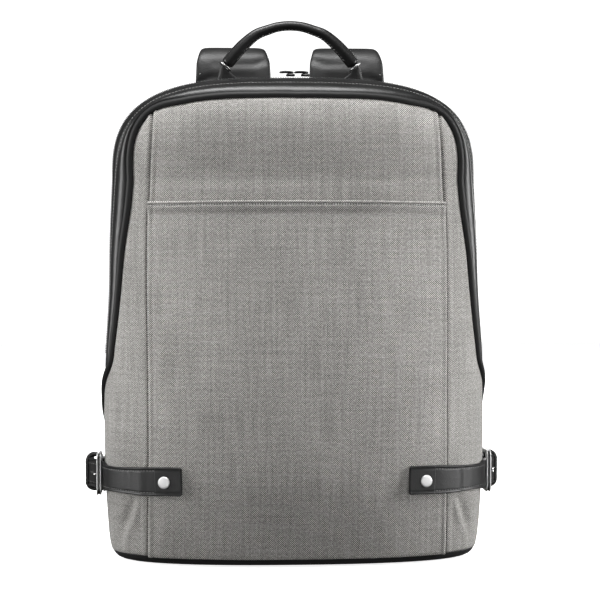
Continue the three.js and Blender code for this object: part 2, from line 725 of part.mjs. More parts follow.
function snap(side) {
  const rim = SNAP_RADIUS;
  const profile = [
    new THREE.Vector2(0, 0), new THREE.Vector2(rim, 0), new THREE.Vector2(rim, SNAP_HEIGHT * 0.3),
    new THREE.Vector2(rim * 0.86, SNAP_HEIGHT * 0.62), new THREE.Vector2(rim * 0.5, SNAP_HEIGHT * 0.92),
    new THREE.Vector2(0, SNAP_HEIGHT),
  ];
  const dome = new THREE.LatheGeometry(profile, 14);
  dome.deleteAttribute('normal');
  dome.deleteAttribute('uv');
  const place = STRAP_TAB_END[side < 0 ? 'left' : 'right'] + SNAP_FROM_END;
  const at = frontPoint(place, STRAP_HEIGHT);
  const normal = outward(at);
  at.addScaledVector(normal, clothStand(place) + STRAP_STAND + STRAP_THICKNESS + 2 * GAP);
  const mesh = mergeVertices(dome, 1e-4);
  mesh.applyQuaternion(new THREE.Quaternion().setFromUnitVectors(vector(0, 1, 0), normal));
  mesh.translate(at.x, at.y, at.z);
  return side > 0 ? mesh : mirroredCopy(mesh);
}

// The same solid on the other side of the body
function mirroredCopy(geometry) {
  const place = geometry.getAttribute('position');
  const points = [];
  for (let index = 0; index < place.count; index += 1) {
    points.push(vector(-place.getX(index), place.getY(index), place.getZ(index)));
  }
  const order = Array.from(geometry.index.array);
  const faces = [];
  for (let index = 0; index < order.length; index += 3) faces.push(order.slice(index, index + 3));
  return solid(points, faces);
}

function roundedRectangle(halfLong, halfHigh, corner) {
  const shape = new THREE.Shape();
  shape.moveTo(-halfLong + corner, -halfHigh);
  shape.lineTo(halfLong - corner, -halfHigh);
  shape.absarc(halfLong - corner, -halfHigh + corner, corner, -Math.PI / 2, 0, false);
  shape.lineTo(halfLong, halfHigh - corner);
  shape.absarc(halfLong - corner, halfHigh - corner, corner, 0, Math.PI / 2, false);
  shape.lineTo(-halfLong + corner, halfHigh);
  shape.absarc(-halfLong + corner, halfHigh - corner, corner, Math.PI / 2, Math.PI, false);
  shape.lineTo(-halfLong, -halfHigh + corner);
  shape.absarc(-halfLong + corner, -halfHigh + corner, corner, Math.PI, 1.5 * Math.PI, false);
  return shape;
}

function plainFrame(halfLong, halfHigh, bar, thickness, corner) {
  const outline = roundedRectangle(halfLong, halfHigh, corner);
  outline.holes.push(roundedRectangle(halfLong - bar, halfHigh - bar, Math.max(corner - bar * 0.6, 0.8)));
  const frame = new THREE.ExtrudeGeometry(outline, { depth: thickness, bevelEnabled: false, curveSegments: 3 });
  frame.deleteAttribute('normal');
  frame.deleteAttribute('uv');
  return mergeVertices(frame, 1e-4);
}

// Buckle frame on the side of the body, seen edge-on from the front
function buckle(side) {
  const frame = plainFrame(BUCKLE_LENGTH / 2, BUCKLE_HEIGHT / 2, BUCKLE_BAR, BUCKLE_THICKNESS, 5);
  frame.rotateX(Math.PI / 2);
  frame.rotateZ(Math.PI / 2);
  frame.translate(buckleInner, 0, STRAP_HEIGHT);
  return side > 0 ? frame : mirroredCopy(frame);
}

// Prong over the strap, from the rear bar to the front bar
function prong(side) {
  const stand = buckleOuter + GAP + PRONG_RADIUS;
  const reach = BUCKLE_LENGTH / 2 - PRONG_RADIUS;
  const lifted = sideSurface + STRAP_TAIL_STAND + STRAP_THICKNESS;
  const path = smoothPath([
    vector(side * stand, -reach, STRAP_HEIGHT), vector(side * (stand + 0.4), -reach * 0.5, STRAP_HEIGHT),
    vector(side * (stand + PRONG_STAND), 0, STRAP_HEIGHT),
    vector(side * mix(stand + PRONG_STAND, lifted + 1, 0.45), reach * 0.35, STRAP_HEIGHT),
  ]);
  return roundTube(path, 8, PRONG_RADIUS, 8);
}

// Keeper: a leather loop that stands round the strap's tail
function keeper(side) {
  const inner = sideSurface + 3 * GAP + STRAP_THICKNESS;
  const halfHigh = (KEEPER_HEIGHT - KEEPER_LEATHER) / 2;
  const near = inner + KEEPER_LEATHER / 2;
  const far = sideSurface + KEEPER_STAND - KEEPER_LEATHER / 2;
  const corner = KEEPER_CORNER;
  const small = 2.5;
  const outline = new THREE.Shape();
  outline.moveTo(near, -halfHigh + small);
  outline.lineTo(near, halfHigh - small);
  outline.absarc(near + small, halfHigh - small, small, Math.PI, Math.PI / 2, true);
  outline.lineTo(far - corner, halfHigh);
  outline.absarc(far - corner, halfHigh - corner, corner, Math.PI / 2, 0, true);
  outline.lineTo(far, -halfHigh + corner);
  outline.absarc(far - corner, -halfHigh + corner, corner, 0, -Math.PI / 2, true);
  outline.lineTo(near + small, -halfHigh);
  outline.absarc(near + small, -halfHigh + small, small, -Math.PI / 2, -Math.PI, true);
  const count = 22;
  const places = outline.getSpacedPoints(count).slice(0, count);
  const frames = places.map((place, index) => {
    const after = places[(index + 1) % places.length];
    const before = places[(index + places.length - 1) % places.length];
    const tangent = vector(side * (after.x - before.x), 0, after.y - before.y).normalize();
    const wide = vector(0, 1, 0);
    const middle = vector(side * place.x, KEEPER_DEPTH, STRAP_HEIGHT + place.y);
    return { middle, wide, deep: tangent.clone().cross(wide) };
  });
  return sweep(frames, () => band(KEEPER_WIDTH, KEEPER_LEATHER), true);
}

// Handle: a rolled arch, thicker towards its ends
const handleEndHeight = BODY_HEIGHT + HANDLE_END_RISE;
const handleTopHeight = handleEndHeight + HANDLE_ARCH;
const handlePoint = (row, side) => vector(
  side * row.out * HANDLE_HALF_SPAN + HANDLE_LEAN,
  HANDLE_DEPTH,
  mix(handleEndHeight, handleTopHeight, row.up),
);
const handlePath = smoothPath([
  ...HANDLE_ROWS.slice(1).reverse().map((row) => handlePoint(row, -1)),
  ...HANDLE_ROWS.map((row) => handlePoint(row, 1)),
]);

const circleSection = (radius, count) => shares(count).slice(0, count)
  .map((t) => [radius * Math.cos(2 * Math.PI * t), radius * Math.sin(2 * Math.PI * t)]);

function handleRoll() {
  const frames = framesAlong(handlePath, 28, () => vector(0, 1, 0));
  return sweep(frames, (t) => {
    const fromMiddle = Math.abs(2 * t - 1);
    const radius = mix(HANDLE_TOP_RADIUS, HANDLE_END_RADIUS, ease(0.1, 0.85, fromMiddle));
    return circleSection(radius, 10);
  });
}

// The handle's end points outward and down on each side
function handleEnd(side) {
  const t = side < 0 ? 0 : 1;
  const tangent = handlePath.getTangentAt(t).multiplyScalar(side < 0 ? -1 : 1);
  return { at: handlePath.getPointAt(t), away: tangent };
}

function handleRing(side) {
  const { at, away } = handleEnd(side);
  const ring = new THREE.TorusGeometry(HANDLE_END_RADIUS, HANDLE_RING_WIRE, 5, 16);
  ring.deleteAttribute('normal');
  ring.deleteAttribute('uv');
  const merged = mergeVertices(ring, 1e-4);
  merged.applyQuaternion(new THREE.Quaternion().setFromUnitVectors(vector(0, 0, 1), away));
  const middle = at.addScaledVector(away, HANDLE_RING_WIRE + GAP);
  merged.translate(middle.x, middle.y, middle.z);
  return merged;
}

// The height of the body's top over a place
function topHeight(x, y) {
  let near = BAND_CENTRE_HEIGHT;
  let far = BODY_HEIGHT;
  for (let step = 0; step < 40; step += 1) {
    const middle = (near + far) / 2;
    if (isInside(vector(x, y, middle))) near = middle;
    else far = middle;
  }
  return near;
}

// Tab that flares from the ring down to the top of the body
function handleTab(side) {
  const { at, away } = handleEnd(side);
  const start = at.addScaledVector(away, 2 * (GAP + HANDLE_RING_WIRE));
  const across = vector(-away.z, 0, away.x);
  const neck = 2 * (HANDLE_END_RADIUS - HANDLE_RING_WIRE);
  const top = band(neck, neck * 0.8, 0.3);
  const foot = band(HANDLE_TAB_WIDTH, HANDLE_TAB_LEATHER, 0.3);
  const rest = HANDLE_DEPTH - HANDLE_TAB_LEATHER / 2;
  const points = [];
  const faces = [];
  const rings = 4;
  for (let ring = 0; ring < rings; ring += 1) {
    const down = ring / (rings - 1);
    top.forEach(([wide, deep], index) => {
      const from = start.clone().addScaledVector(across, wide).add(vector(0, deep, 0));
      const x = side * HANDLE_TAB_PLACE + HANDLE_LEAN + foot[index][0];
      const to = vector(x, HANDLE_DEPTH + foot[index][1], topHeight(x, rest) + 2 * GAP);
      points.push(from.lerp(to, down));
    });
    if (ring === 0) continue;
    for (let turn = 0; turn < top.length; turn += 1) {
      const first = (ring - 1) * top.length;
      const next = (turn + 1) % top.length;
      quad(faces, first + turn, first + next, first + top.length + next, first + top.length + turn);
    }
  }
  const end = (rings - 1) * top.length;
  for (let turn = 1; turn + 1 < top.length; turn += 1) {
    faces.push([0, turn + 1, turn], [end, end + turn, end + turn + 1]);
  }
  return solid(points, faces);
}

// Shoulder strap: a padded band that rises over the top, loops back and comes down
function strapPadPath(side) {
  const sewn = BODY_HEIGHT - STRAP_PAD_SEWN_DOWN;
  return smoothPath(STRAP_PAD_ROWS.map((row) => {
    const z = row.up * (BODY_HEIGHT + STRAP_PAD_RISE);
    const x = row.out * STRAP_PAD_SPREAD;
    const resting = backPoint(x, Math.min(z, sewn)).y + 3 * GAP + (row.thick * STRAP_PAD_THICKNESS) / 2;
    return vector(side * x, Math.max(row.back * STRAP_PAD_REACH, z < sewn ? resting : 0), z);
  }));
}

function strapPad(side) {
  const frames = framesAlong(strapPadPath(side), 30, () => vector(1, 0, 0));
  return sweep(frames, (t) => {
    const place = t * (STRAP_PAD_ROWS.length - 1);
    const low = Math.min(Math.floor(place), STRAP_PAD_ROWS.length - 2);
    const from = STRAP_PAD_ROWS[low];
    const to = STRAP_PAD_ROWS[low + 1];
    const wide = mix(from.wide, to.wide, place - low) * STRAP_PAD_WIDTH;
    return band(wide, mix(from.thick, to.thick, place - low) * STRAP_PAD_THICKNESS, 0.3);
  });
}

// The lower end of the shoulder strap, and the way from there to the anchor on the body
function strapFoot(side) {
  const path = strapPadPath(side);
  const at = path.getPointAt(1);
  const anchor = backPoint(side * ANCHOR_OUT, ANCHOR_HEIGHT);
  anchor.y += GAP + ANCHOR_THICKNESS / 2;
  return { at, along: path.getTangentAt(1), anchor };
}

function adjuster(side) {
  const { at, along } = strapFoot(side);
  const frame = plainFrame(ADJUSTER_WIDTH / 2, ADJUSTER_LENGTH / 2, ADJUSTER_BAR, ADJUSTER_THICKNESS, 4);
  frame.translate(0, 0, -ADJUSTER_THICKNESS / 2);
  const wide = vector(1, 0, 0).addScaledVector(along, -along.x).normalize();
  const turn = new THREE.Matrix4().makeBasis(wide, along.clone(), wide.clone().cross(along));
  frame.applyMatrix4(turn);
  const middle = at.clone().addScaledVector(along, ADJUSTER_LENGTH / 2 + GAP);
  frame.translate(middle.x, middle.y, middle.z);
  return frame;
}

// Middle depth of a flat piece that lies on the back with its inner edge
function restOnBack(x, z, thickness) {
  return backPoint(Math.abs(x) - WEBBING_WIDTH * 0.6, z).y + 2 * GAP + thickness / 2;
}

function strapWebbing(side) {
  const { at, along, anchor } = strapFoot(side);
  const start = at.clone().addScaledVector(along, ADJUSTER_LENGTH + 2 * GAP);
  const end = anchor.clone().add(vector(-side * 5, 0, ANCHOR_LENGTH / 2 + 5 * GAP));
  end.y = restOnBack(end.x, end.z, WEBBING_THICKNESS);
  const path = smoothPath([
    start, start.clone().addScaledVector(along, 24),
    start.clone().lerp(end, 0.6).add(vector(0, 7, 0)),
    end.clone().add(vector(-side * 1.5, 1, 17)), end,
  ]);
  const frames = framesAlong(path, 14, () => vector(1, 0, 0));
  return sweep(frames, () => band(WEBBING_WIDTH, WEBBING_THICKNESS));
}

function strapAnchor(side) {
  const { anchor } = strapFoot(side);
  const frames = shares(6).map((t) => {
    const z = mix(ANCHOR_HEIGHT - ANCHOR_LENGTH / 2, ANCHOR_HEIGHT + ANCHOR_LENGTH / 2, t);
    const lean = anchor.x - side * 5 * t;
    const depth = restOnBack(lean, z, ANCHOR_THICKNESS);
    return { middle: vector(lean, depth, z), wide: vector(1, 0, 0), deep: vector(0, 1, 0) };
  });
  return sweep(frames, (t) => band(mix(WEBBING_WIDTH + 10, WEBBING_WIDTH + 2, t), ANCHOR_THICKNESS));
}

// Zip sliders sit on the teeth at the top, each with a wire puller that lies to its left
const zipMiddle = ZIP_FRONT + ZIP_WIDTH / 2;
const teethStand = -LEATHER / 2 + GAP + ZIP_TEETH_HEIGHT;

function slider(place) {
  const z = topHeight(place, zipMiddle) + teethStand + GAP + 0.3;
  const half = SLIDER_LENGTH / 2;
  const outline = roundedRectangle(half, SLIDER_WIDTH / 2, 2.2);
  const body = new THREE.ExtrudeGeometry(outline, {
    depth: SLIDER_THICKNESS, bevelEnabled: false, curveSegments: 3,
  });
  body.deleteAttribute('normal');
  body.deleteAttribute('uv');
  const merged = mergeVertices(body, 1e-4);
  merged.translate(place, zipMiddle, z);
  return merged;
}

function puller(place) {
  const z = topHeight(place, zipMiddle) + teethStand + 2 * GAP + 0.3 + SLIDER_THICKNESS + PULLER_WIRE;
  const far = place - PULLER_LENGTH;
  const path = smoothPath([
    vector(place + 2, zipMiddle, z), vector(place, zipMiddle - PULLER_HALF_WIDTH * 0.7, z + 0.1),
    vector(mix(place, far, 0.5), zipMiddle - PULLER_HALF_WIDTH, z + 0.4),
    vector(far + 1.5, zipMiddle - PULLER_HALF_WIDTH * 0.7, z + 0.2), vector(far, zipMiddle, z),
    vector(far + 1.5, zipMiddle + PULLER_HALF_WIDTH * 0.7, z + 0.2),
    vector(mix(place, far, 0.5), zipMiddle + PULLER_HALF_WIDTH, z + 0.4),
    vector(place, zipMiddle + PULLER_HALF_WIDTH * 0.7, z + 0.1),
  ], true);
  const count = 18;
  const frames = shares(count).slice(0, count).map((t) => {
    const tangent = path.getTangentAt(t);
    const wide = vector(0, 0, 1).addScaledVector(tangent, -tangent.z).normalize();
    return { middle: path.getPointAt(t), wide, deep: tangent.clone().cross(wide) };
  });
  return sweep(frames, () => circleSection(PULLER_WIRE, 5), true);
}

add('front_panel', frontPanel(), 'cloth');
add('front_pocket', frontPocket(), 'cloth');
add('front_piping', frontPiping(), 'leather');
add('front_gusset', frontGusset(), 'leather');
add('zip_tape', zipTape(), 'webbing');
add('zip_teeth', zipTeeth(), 'darkMetal');
add('rear_gusset', rearGusset(), 'leather');
add('back_panel', backPanel(), 'mesh');
add('base', base(), 'base');
add('handle_roll', handleRoll(), 'leather');
Object.entries(SLIDER_PLACES).forEach(([name, place]) => {
  add(`zip_slider_${name}`, slider(place), 'darkMetal');
  add(`zip_puller_${name}`, puller(place), 'darkMetal');
});
sides.forEach(({ name, sign }) => {
  add(`side_panel_${name}`, sidePanel(sign), 'cloth');
  add(`side_strap_${name}`, sideStrap(sign), 'leather');
  add(`rear_strap_${name}`, rearStrap(sign), 'leather');
  add(`snap_${name}`, snap(sign), 'metal');
  add(`buckle_${name}`, buckle(sign), 'metal');
  add(`prong_${name}`, prong(sign), 'metal');
  add(`keeper_${name}`, keeper(sign), 'leather');
  add(`handle_ring_${name}`, handleRing(sign), 'metal');
  add(`handle_tab_${name}`, handleTab(sign), 'grainLeather');
  add(`shoulder_strap_${name}`, strapPad(sign), 'leather');
  add(`strap_adjuster_${name}`, adjuster(sign), 'plastic');
  add(`strap_webbing_${name}`, strapWebbing(sign), 'webbing');
  add(`strap_anchor_${name}`, strapAnchor(sign), 'leather');
});

export default backpack;
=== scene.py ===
# The look of the laptop backpack: woven cloth, leather, stitching, zip, straps and fittings.
# The surface functions work in millimetres and each mesh is made in metres.
import math
import bpy
import numpy as np
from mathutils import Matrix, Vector


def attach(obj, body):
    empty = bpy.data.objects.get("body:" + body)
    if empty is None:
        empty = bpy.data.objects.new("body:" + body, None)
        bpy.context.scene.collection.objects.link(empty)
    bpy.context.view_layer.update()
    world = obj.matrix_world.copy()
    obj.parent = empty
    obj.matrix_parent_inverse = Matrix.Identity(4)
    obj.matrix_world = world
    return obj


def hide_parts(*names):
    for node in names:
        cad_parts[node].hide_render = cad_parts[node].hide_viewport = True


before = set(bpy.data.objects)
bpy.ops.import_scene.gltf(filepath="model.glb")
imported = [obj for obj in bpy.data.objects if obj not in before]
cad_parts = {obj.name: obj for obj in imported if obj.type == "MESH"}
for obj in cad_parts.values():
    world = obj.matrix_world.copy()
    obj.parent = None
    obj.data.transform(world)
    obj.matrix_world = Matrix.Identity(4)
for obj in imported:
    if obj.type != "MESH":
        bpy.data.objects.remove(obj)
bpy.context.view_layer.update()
SIDES = (("left", -1), ("right", 1))

# Body sizes, the same as in the model
BODY_HEIGHT = 419.5
BODY_HALF_WIDTH = 166.5
FRONT_DEPTH = 79.0
BACK_DEPTH = 56.0
SHOULDER_HEIGHT = 330.0
BAND_CENTRE = 250.0
FRONT_POWER = 2.4
BACK_POWER = 4.0
SECTION_UP = (0, 0.035, 0.12, 0.3, 0.5, 0.7, 0.85, 1)
SECTION_WIDTH = (0.935, 0.969, 0.986, 1, 0.995, 0.972, 0.966, 0.953)
SECTION_FRONT = (0.79, 0.85, 0.92, 1, 0.985, 0.9, 0.81, 0.72)
SECTION_BACK = (0.9, 0.93, 0.965, 1, 1, 0.985, 0.975, 0.965)
WIDTH_DOME = (2.9, 3.2)
FRONT_DOME = (4.6, 2)
BACK_DOME = (6, 2)
BASE_HEIGHT = 8.0
CLOTH_BOTTOM = 8.3
SEAM_HALF_WIDTH = 128.0
SEAM_UP = (0, 0.3, 0.7, 0.88, 1)
SEAM_SHARE = (1, 0.99, 1, 0.985, 0.967)
SEAM_TOP = 384.0
SEAM_GAP = 0.6
HEM_HEIGHT = 310.0
POCKET_FULLNESS = 7.0
PIPING_RADIUS = 2.8
PIPING_GAP = 1.1
PIPING_END = 106.0
PIPING_STATION = (-144, -122, -98, -80, -62, -16, 4, 20, 35, 46, 50, 57, 74, 90)
PIPING_DEPTH = (0.5, 0.21, -0.09, -0.31, -0.35, -0.372, -0.38, -0.4, -0.38, -0.378, -0.4, -0.48, -0.557, -0.575)
ZIP_FRONT = -3.0
ZIP_WIDTH = 13.0
ZIP_END = 178.0
BACK_EDGE = 44.0
STRAP_HEIGHT = 74.0
STRAP_STAND = 0.6
TAB_END = {-1: 97.0, 1: 91.0}
STRAP_WIDTH = 24.5
STRAP_THICKNESS = 2.4


def follow(keys, values, at):
    keys = np.asarray(keys, float)
    values = np.asarray(values, float)
    at = np.clip(np.asarray(at, float), keys[0], keys[-1])
    last = len(keys) - 1
    before = np.maximum(np.arange(last + 1) - 1, 0)
    after = np.minimum(np.arange(last + 1) + 1, last)
    slope = (values[after] - values[before]) / (keys[after] - keys[before])
    row = np.clip(np.searchsorted(keys, at, side="left") - 1, 0, last - 1)
    span = keys[row + 1] - keys[row]
    t = (at - keys[row]) / span
    rise = t * t * (3 - 2 * t)
    start = values[row] * (1 - rise) + values[row + 1] * rise
    return start + span * t * (1 - t) * (slope[row] * (1 - t) - slope[row + 1] * t)


def ease(low, high, at):
    t = np.clip((at - low) / (high - low), 0, 1)
    return t * t * (3 - 2 * t)


def mix(a, b, t):
    return a + (b - a) * t


def closing(dome, z):
    t = np.clip((z - SHOULDER_HEIGHT) / (BODY_HEIGHT - SHOULDER_HEIGHT), 0, 1)
    return np.power(1 - np.power(t, dome[0]), 1 / dome[1])


HEIGHTS = BODY_HEIGHT * (1 - np.power(1 - np.linspace(0, 1, 6000), 2.5))
UPS = np.clip(HEIGHTS / SHOULDER_HEIGHT, 0, 1)
HALVES = BODY_HALF_WIDTH * follow(SECTION_UP, SECTION_WIDTH, UPS) * closing(WIDTH_DOME, HEIGHTS)
FRONTS = FRONT_DEPTH * follow(SECTION_UP, SECTION_FRONT, UPS) * closing(FRONT_DOME, HEIGHTS)
BACKS = BACK_DEPTH * follow(SECTION_UP, SECTION_BACK, UPS) * closing(BACK_DOME, HEIGHTS)


def half_width(z):
    return np.interp(z, HEIGHTS, HALVES)


def front_depth(z):
    return np.interp(z, HEIGHTS, FRONTS)


def back_depth(z):
    return np.interp(z, HEIGHTS, BACKS)


def bend(share, power):
    return np.power(1 - np.power(np.clip(share, 0, 1), power), 1 / power)


def stack(x, y, z):
    x, y, z = np.broadcast_arrays(x, y, z)
    return np.stack([x, y, z], -1).astype(float)


def front_point(x, z):
    return stack(x, -front_depth(z) * bend(np.abs(x) / np.maximum(half_width(z), 1e-6), FRONT_POWER), z)


def back_point(x, z):
    return stack(x, back_depth(z) * bend(np.abs(x) / np.maximum(half_width(z), 1e-6), BACK_POWER), z)


def side_point(side, y, z):
    depth = np.where(y < 0, front_depth(z), back_depth(z))
    power = np.where(y < 0, FRONT_POWER, BACK_POWER)
    return stack(side * half_width(z) * bend(np.abs(y) / depth, power), y, z)


def is_inside(x, y, z):
    half = np.maximum(half_width(z), 1e-6)
    depth = np.maximum(np.where(y < 0, front_depth(z), back_depth(z)), 1e-6)
    power = np.where(y < 0, FRONT_POWER, BACK_POWER)
    total = np.power(np.abs(x) / half, power) + np.power(np.abs(y) / depth, power)
    return (total < 1) & (z > 0) & (z < BODY_HEIGHT)


def band_point(station, y):
    """A place on the band that runs up one side, over the top and down the other."""
    station, y = np.broadcast_arrays(np.asarray(station, float), np.asarray(y, float))
    angle = np.radians(np.clip(station, 0, 180))
    near = np.zeros(station.shape)
    far = np.full(station.shape, BODY_HEIGHT)
    for _ in range(38):
        middle = (near + far) / 2
        inside = is_inside(middle * np.cos(angle), y, BAND_CENTRE + middle * np.sin(angle))
        near = np.where(inside, middle, near)
        far = np.where(inside, far, middle)
    reach = (near + far) / 2
    over = stack(reach * np.cos(angle), y, BAND_CENTRE + reach * np.sin(angle))
    low = np.where(station > 90, BAND_CENTRE + 180 - station, BAND_CENTRE + station)
    beside = side_point(np.where(station > 90, -1.0, 1.0), y, low)
    on_top = (station >= 0) & (station <= 180)
    return np.where(on_top[..., None], over, beside)


def mirrored(station):
    return np.where(station > 90, 180 - station, station)


def piping_depth(station):
    return FRONT_DEPTH * follow(PIPING_STATION, PIPING_DEPTH, mirrored(np.asarray(station, float)))


def walk(station, length):
    step = 0.2
    y = piping_depth(station)
    stretch = np.linalg.norm(band_point(station, y + step) - band_point(station, y - step), axis=-1) / (2 * step)
    drop = piping_depth(station + step) - piping_depth(station - step)
    run = np.linalg.norm(band_point(station + step, y) - band_point(station - step, y), axis=-1)
    return y + (length * np.hypot(1, drop * stretch / run)) / np.maximum(stretch, 1)


STATIONS = np.concatenate([np.linspace(-150, 0, 151), np.linspace(0.5, 90, 180)])
CLOTH_EDGE = walk(STATIONS, -PIPING_RADIUS + 0.4)
GUSSET_EDGE = walk(STATIONS, PIPING_RADIUS - 0.6)


def cloth_edge(station):
    return np.interp(mirrored(np.asarray(station, float)), STATIONS, CLOTH_EDGE)


def gusset_edge(station):
    return np.interp(mirrored(np.asarray(station, float)), STATIONS, GUSSET_EDGE)


EDGE_POINTS = band_point(STATIONS, CLOTH_EDGE)


def cloth_top(x):
    pick = STATIONS >= 20
    return np.interp(np.abs(x), EDGE_POINTS[pick, 0][::-1], EDGE_POINTS[pick, 2][::-1])


def seam_half(z):
    return SEAM_HALF_WIDTH * follow(SEAM_UP, SEAM_SHARE, z / SEAM_TOP)


def side_rear(z):
    pick = STATIONS <= 80
    depth = np.interp(z, EDGE_POINTS[pick, 2], CLOTH_EDGE[pick])
    return np.minimum(depth, BACK_EDGE - SEAM_GAP)


# Meshes
def normals_of(points, centre=(0, 0, BAND_CENTRE)):
    along = np.gradient(points, axis=0)
    across = np.gradient(points, axis=1)
    normal = np.cross(along, across)
    size = np.linalg.norm(normal, axis=-1, keepdims=True)
    normal = normal / np.maximum(size, 1e-9)
    away = np.sum(normal * (points - np.asarray(centre, float)), axis=-1)
    return normal * (-1 if np.median(away) < 0 else 1)


def grid_faces(rows, columns, start=0, wrap=False, flip=False):
    row = np.arange(rows - 1)[:, None]
    column = np.arange(columns if wrap else columns - 1)[None, :]
    a = start + row * columns + column
    b = start + row * columns + (column + 1) % columns
    faces = np.stack([a, b, b + columns, a + columns], -1).reshape(-1, 4)
    return faces[:, ::-1] if flip else faces


def make(name, points, faces, uv=None, materials=(), face_slots=None, smooth=True):
    points = np.asarray(points, float).reshape(-1, 3)
    faces = [tuple(int(i) for i in face) for face in faces]
    first = np.array([face[:3] for face in faces])
    second = np.array([(face[0], face[2], face[3]) for face in faces if len(face) == 4]).reshape(-1, 3)
    triangles = np.concatenate([first, second])
    a, b, c = points[triangles[:, 0]], points[triangles[:, 1]], points[triangles[:, 2]]
    if np.sum(a * np.cross(b, c)) < 0:
        faces = [face[::-1] for face in faces]
    mesh = bpy.data.meshes.new(name)
    mesh.from_pydata((points * 0.001).tolist(), [], faces)
    if uv is not None:
        layer = mesh.uv_layers.new(name="cloth")
        corners = np.empty(len(mesh.loops), dtype=np.int32)
        mesh.loops.foreach_get("vertex_index", corners)
        flat = (np.asarray(uv, float).reshape(-1, 2)[corners] * 0.001).astype(np.float32)
        layer.data.foreach_set("uv", flat.ravel())
    for material in materials:
        mesh.materials.append(material)
    if face_slots is not None:
        mesh.polygons.foreach_set("material_index", np.asarray(face_slots, dtype=np.int32))
    mesh.polygons.foreach_set("use_smooth", np.full(len(faces), smooth))
    mesh.update()
    obj = bpy.data.objects.new(name, mesh)
    bpy.context.scene.collection.objects.link(obj)
    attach(obj, "root")
    return obj


def shell(points, normals, thickness, uv, rim=4, spread=1.0):
    """Closed shell of a sheet with rounded edges, from its outer surface."""
    rows, columns = points.shape[:2]
    thick = np.broadcast_to(np.asarray(thickness, float), (rows, columns))
    outer = points.reshape(-1, 3)
    inner = (points - normals * thick[..., None]).reshape(-1, 3)
    ring = [(0, c) for c in range(columns)]
    ring += [(r, columns - 1) for r in range(1, rows)]
    ring += [(rows - 1, c) for c in range(columns - 2, -1, -1)]
    ring += [(r, 0) for r in range(rows - 2, 0, -1)]
    r = np.array([place[0] for place in ring])
    c = np.array([place[1] for place in ring])
    out = points[r, c] - points[np.clip(r, 1, rows - 2), np.clip(c, 1, columns - 2)]
    normal = normals[r, c]
    out = out - normal * np.sum(out * normal, axis=-1, keepdims=True)
    out = out / np.maximum(np.linalg.norm(out, axis=-1, keepdims=True), 1e-9)
    half = thick[r, c][:, None] / 2
    middle = points[r, c] - normal * half
    size = rows * columns
    count = len(ring)
    index = r * columns + c
    all_points = [outer, inner]
    uvs = [uv.reshape(-1, 2), uv.reshape(-1, 2)]
    levels = [index]
    for step in range(1, rim + 1):
        turn = math.pi * step / (rim + 1)
        all_points.append(middle + normal * half * math.cos(turn) + out * half * spread * math.sin(turn))
        uvs.append(uv.reshape(-1, 2)[index])
        levels.append(2 * size + (step - 1) * count + np.arange(count))
    levels.append(size + index)
    faces = [grid_faces(rows, columns), grid_faces(rows, columns, size, flip=True)]
    for low, high in zip(levels[:-1], levels[1:]):
        faces.append(np.stack([low, high, np.roll(high, -1), np.roll(low, -1)], -1))
    return np.concatenate(all_points), np.concatenate(faces), np.concatenate(uvs)


def smooth_path(points, count, closed=False):
    points = np.asarray(points, float)
    total = len(points)
    pieces = []
    for start in range(total if closed else total - 1):
        p1 = points[start]
        p2 = points[(start + 1) % total]
        p0 = points[(start - 1) % total] if closed or start > 0 else 2 * p1 - p2
        p3 = points[(start + 2) % total] if closed or start + 2 < total else 2 * p2 - p1
        d0, d1, d2 = (max(np.linalg.norm(b - a) ** 0.5, 1e-4) for a, b in ((p0, p1), (p1, p2), (p2, p3)))
        m1 = ((p1 - p0) / d0 - (p2 - p0) / (d0 + d1) + (p2 - p1) / d1) * d1
        m2 = ((p2 - p1) / d1 - (p3 - p1) / (d1 + d2) + (p3 - p2) / d2) * d1
        t = np.linspace(0, 1, 24, endpoint=False)[:, None]
        pieces.append(p1 + m1 * t + (3 * (p2 - p1) - 2 * m1 - m2) * t ** 2 + (2 * (p1 - p2) + m1 + m2) * t ** 3)
    pieces.append(points[:1] if closed else points[-1:])
    return resample(np.concatenate(pieces), count, closed)


def resample(line, count, closed=False):
    gone = np.concatenate([[0], np.cumsum(np.linalg.norm(np.diff(line, axis=0), axis=1))])
    at = np.linspace(0, gone[-1], count + 1)
    if closed:
        at = at[:-1]
    return np.stack([np.interp(at, gone, line[:, axis]) for axis in range(3)], -1)


def unit(v):
    v = np.asarray(v, float)
    return v / np.maximum(np.linalg.norm(v, axis=-1, keepdims=True), 1e-9)


def tangents(line, closed=False):
    if closed:
        return unit(np.roll(line, -1, axis=0) - np.roll(line, 1, axis=0))
    return unit(np.gradient(line, axis=0))


def frames_along(line, wide, closed=False):
    along = tangents(line, closed)
    wide = np.broadcast_to(np.asarray(wide, float), line.shape)
    wide = unit(wide - along * np.sum(wide * along, axis=-1, keepdims=True))
    return line, wide, np.cross(along, wide)


def sweep(frames, sections, closed=False):
    middle, wide, deep = frames
    sections = np.asarray(sections, float)
    if sections.ndim == 2:
        sections = np.broadcast_to(sections, (len(middle),) + sections.shape)
    points = middle[:, None] + wide[:, None] * sections[..., :1] + deep[:, None] * sections[..., 1:]
    rings, sides = sections.shape[:2]
    if closed:
        points = np.concatenate([points, points[:1]])
        faces = grid_faces(rings + 1, sides, wrap=True) % (rings * sides)
        return points[:-1].reshape(-1, 3), faces.tolist()
    faces = grid_faces(rings, sides, wrap=True).tolist()
    flat = points.reshape(-1, 3)
    ends = np.stack([points[0].mean(0), points[-1].mean(0)])
    base = len(flat)
    last = (rings - 1) * sides
    for side in range(sides):
        turn = (side + 1) % sides
        faces.append([base, turn, side])
        faces.append([base + 1, last + side, last + turn])
    return np.concatenate([flat, ends]), faces


def circle(radius, sides):
    turn = 2 * math.pi * np.arange(sides) / sides
    return np.stack([radius * np.cos(turn), radius * np.sin(turn)], -1)


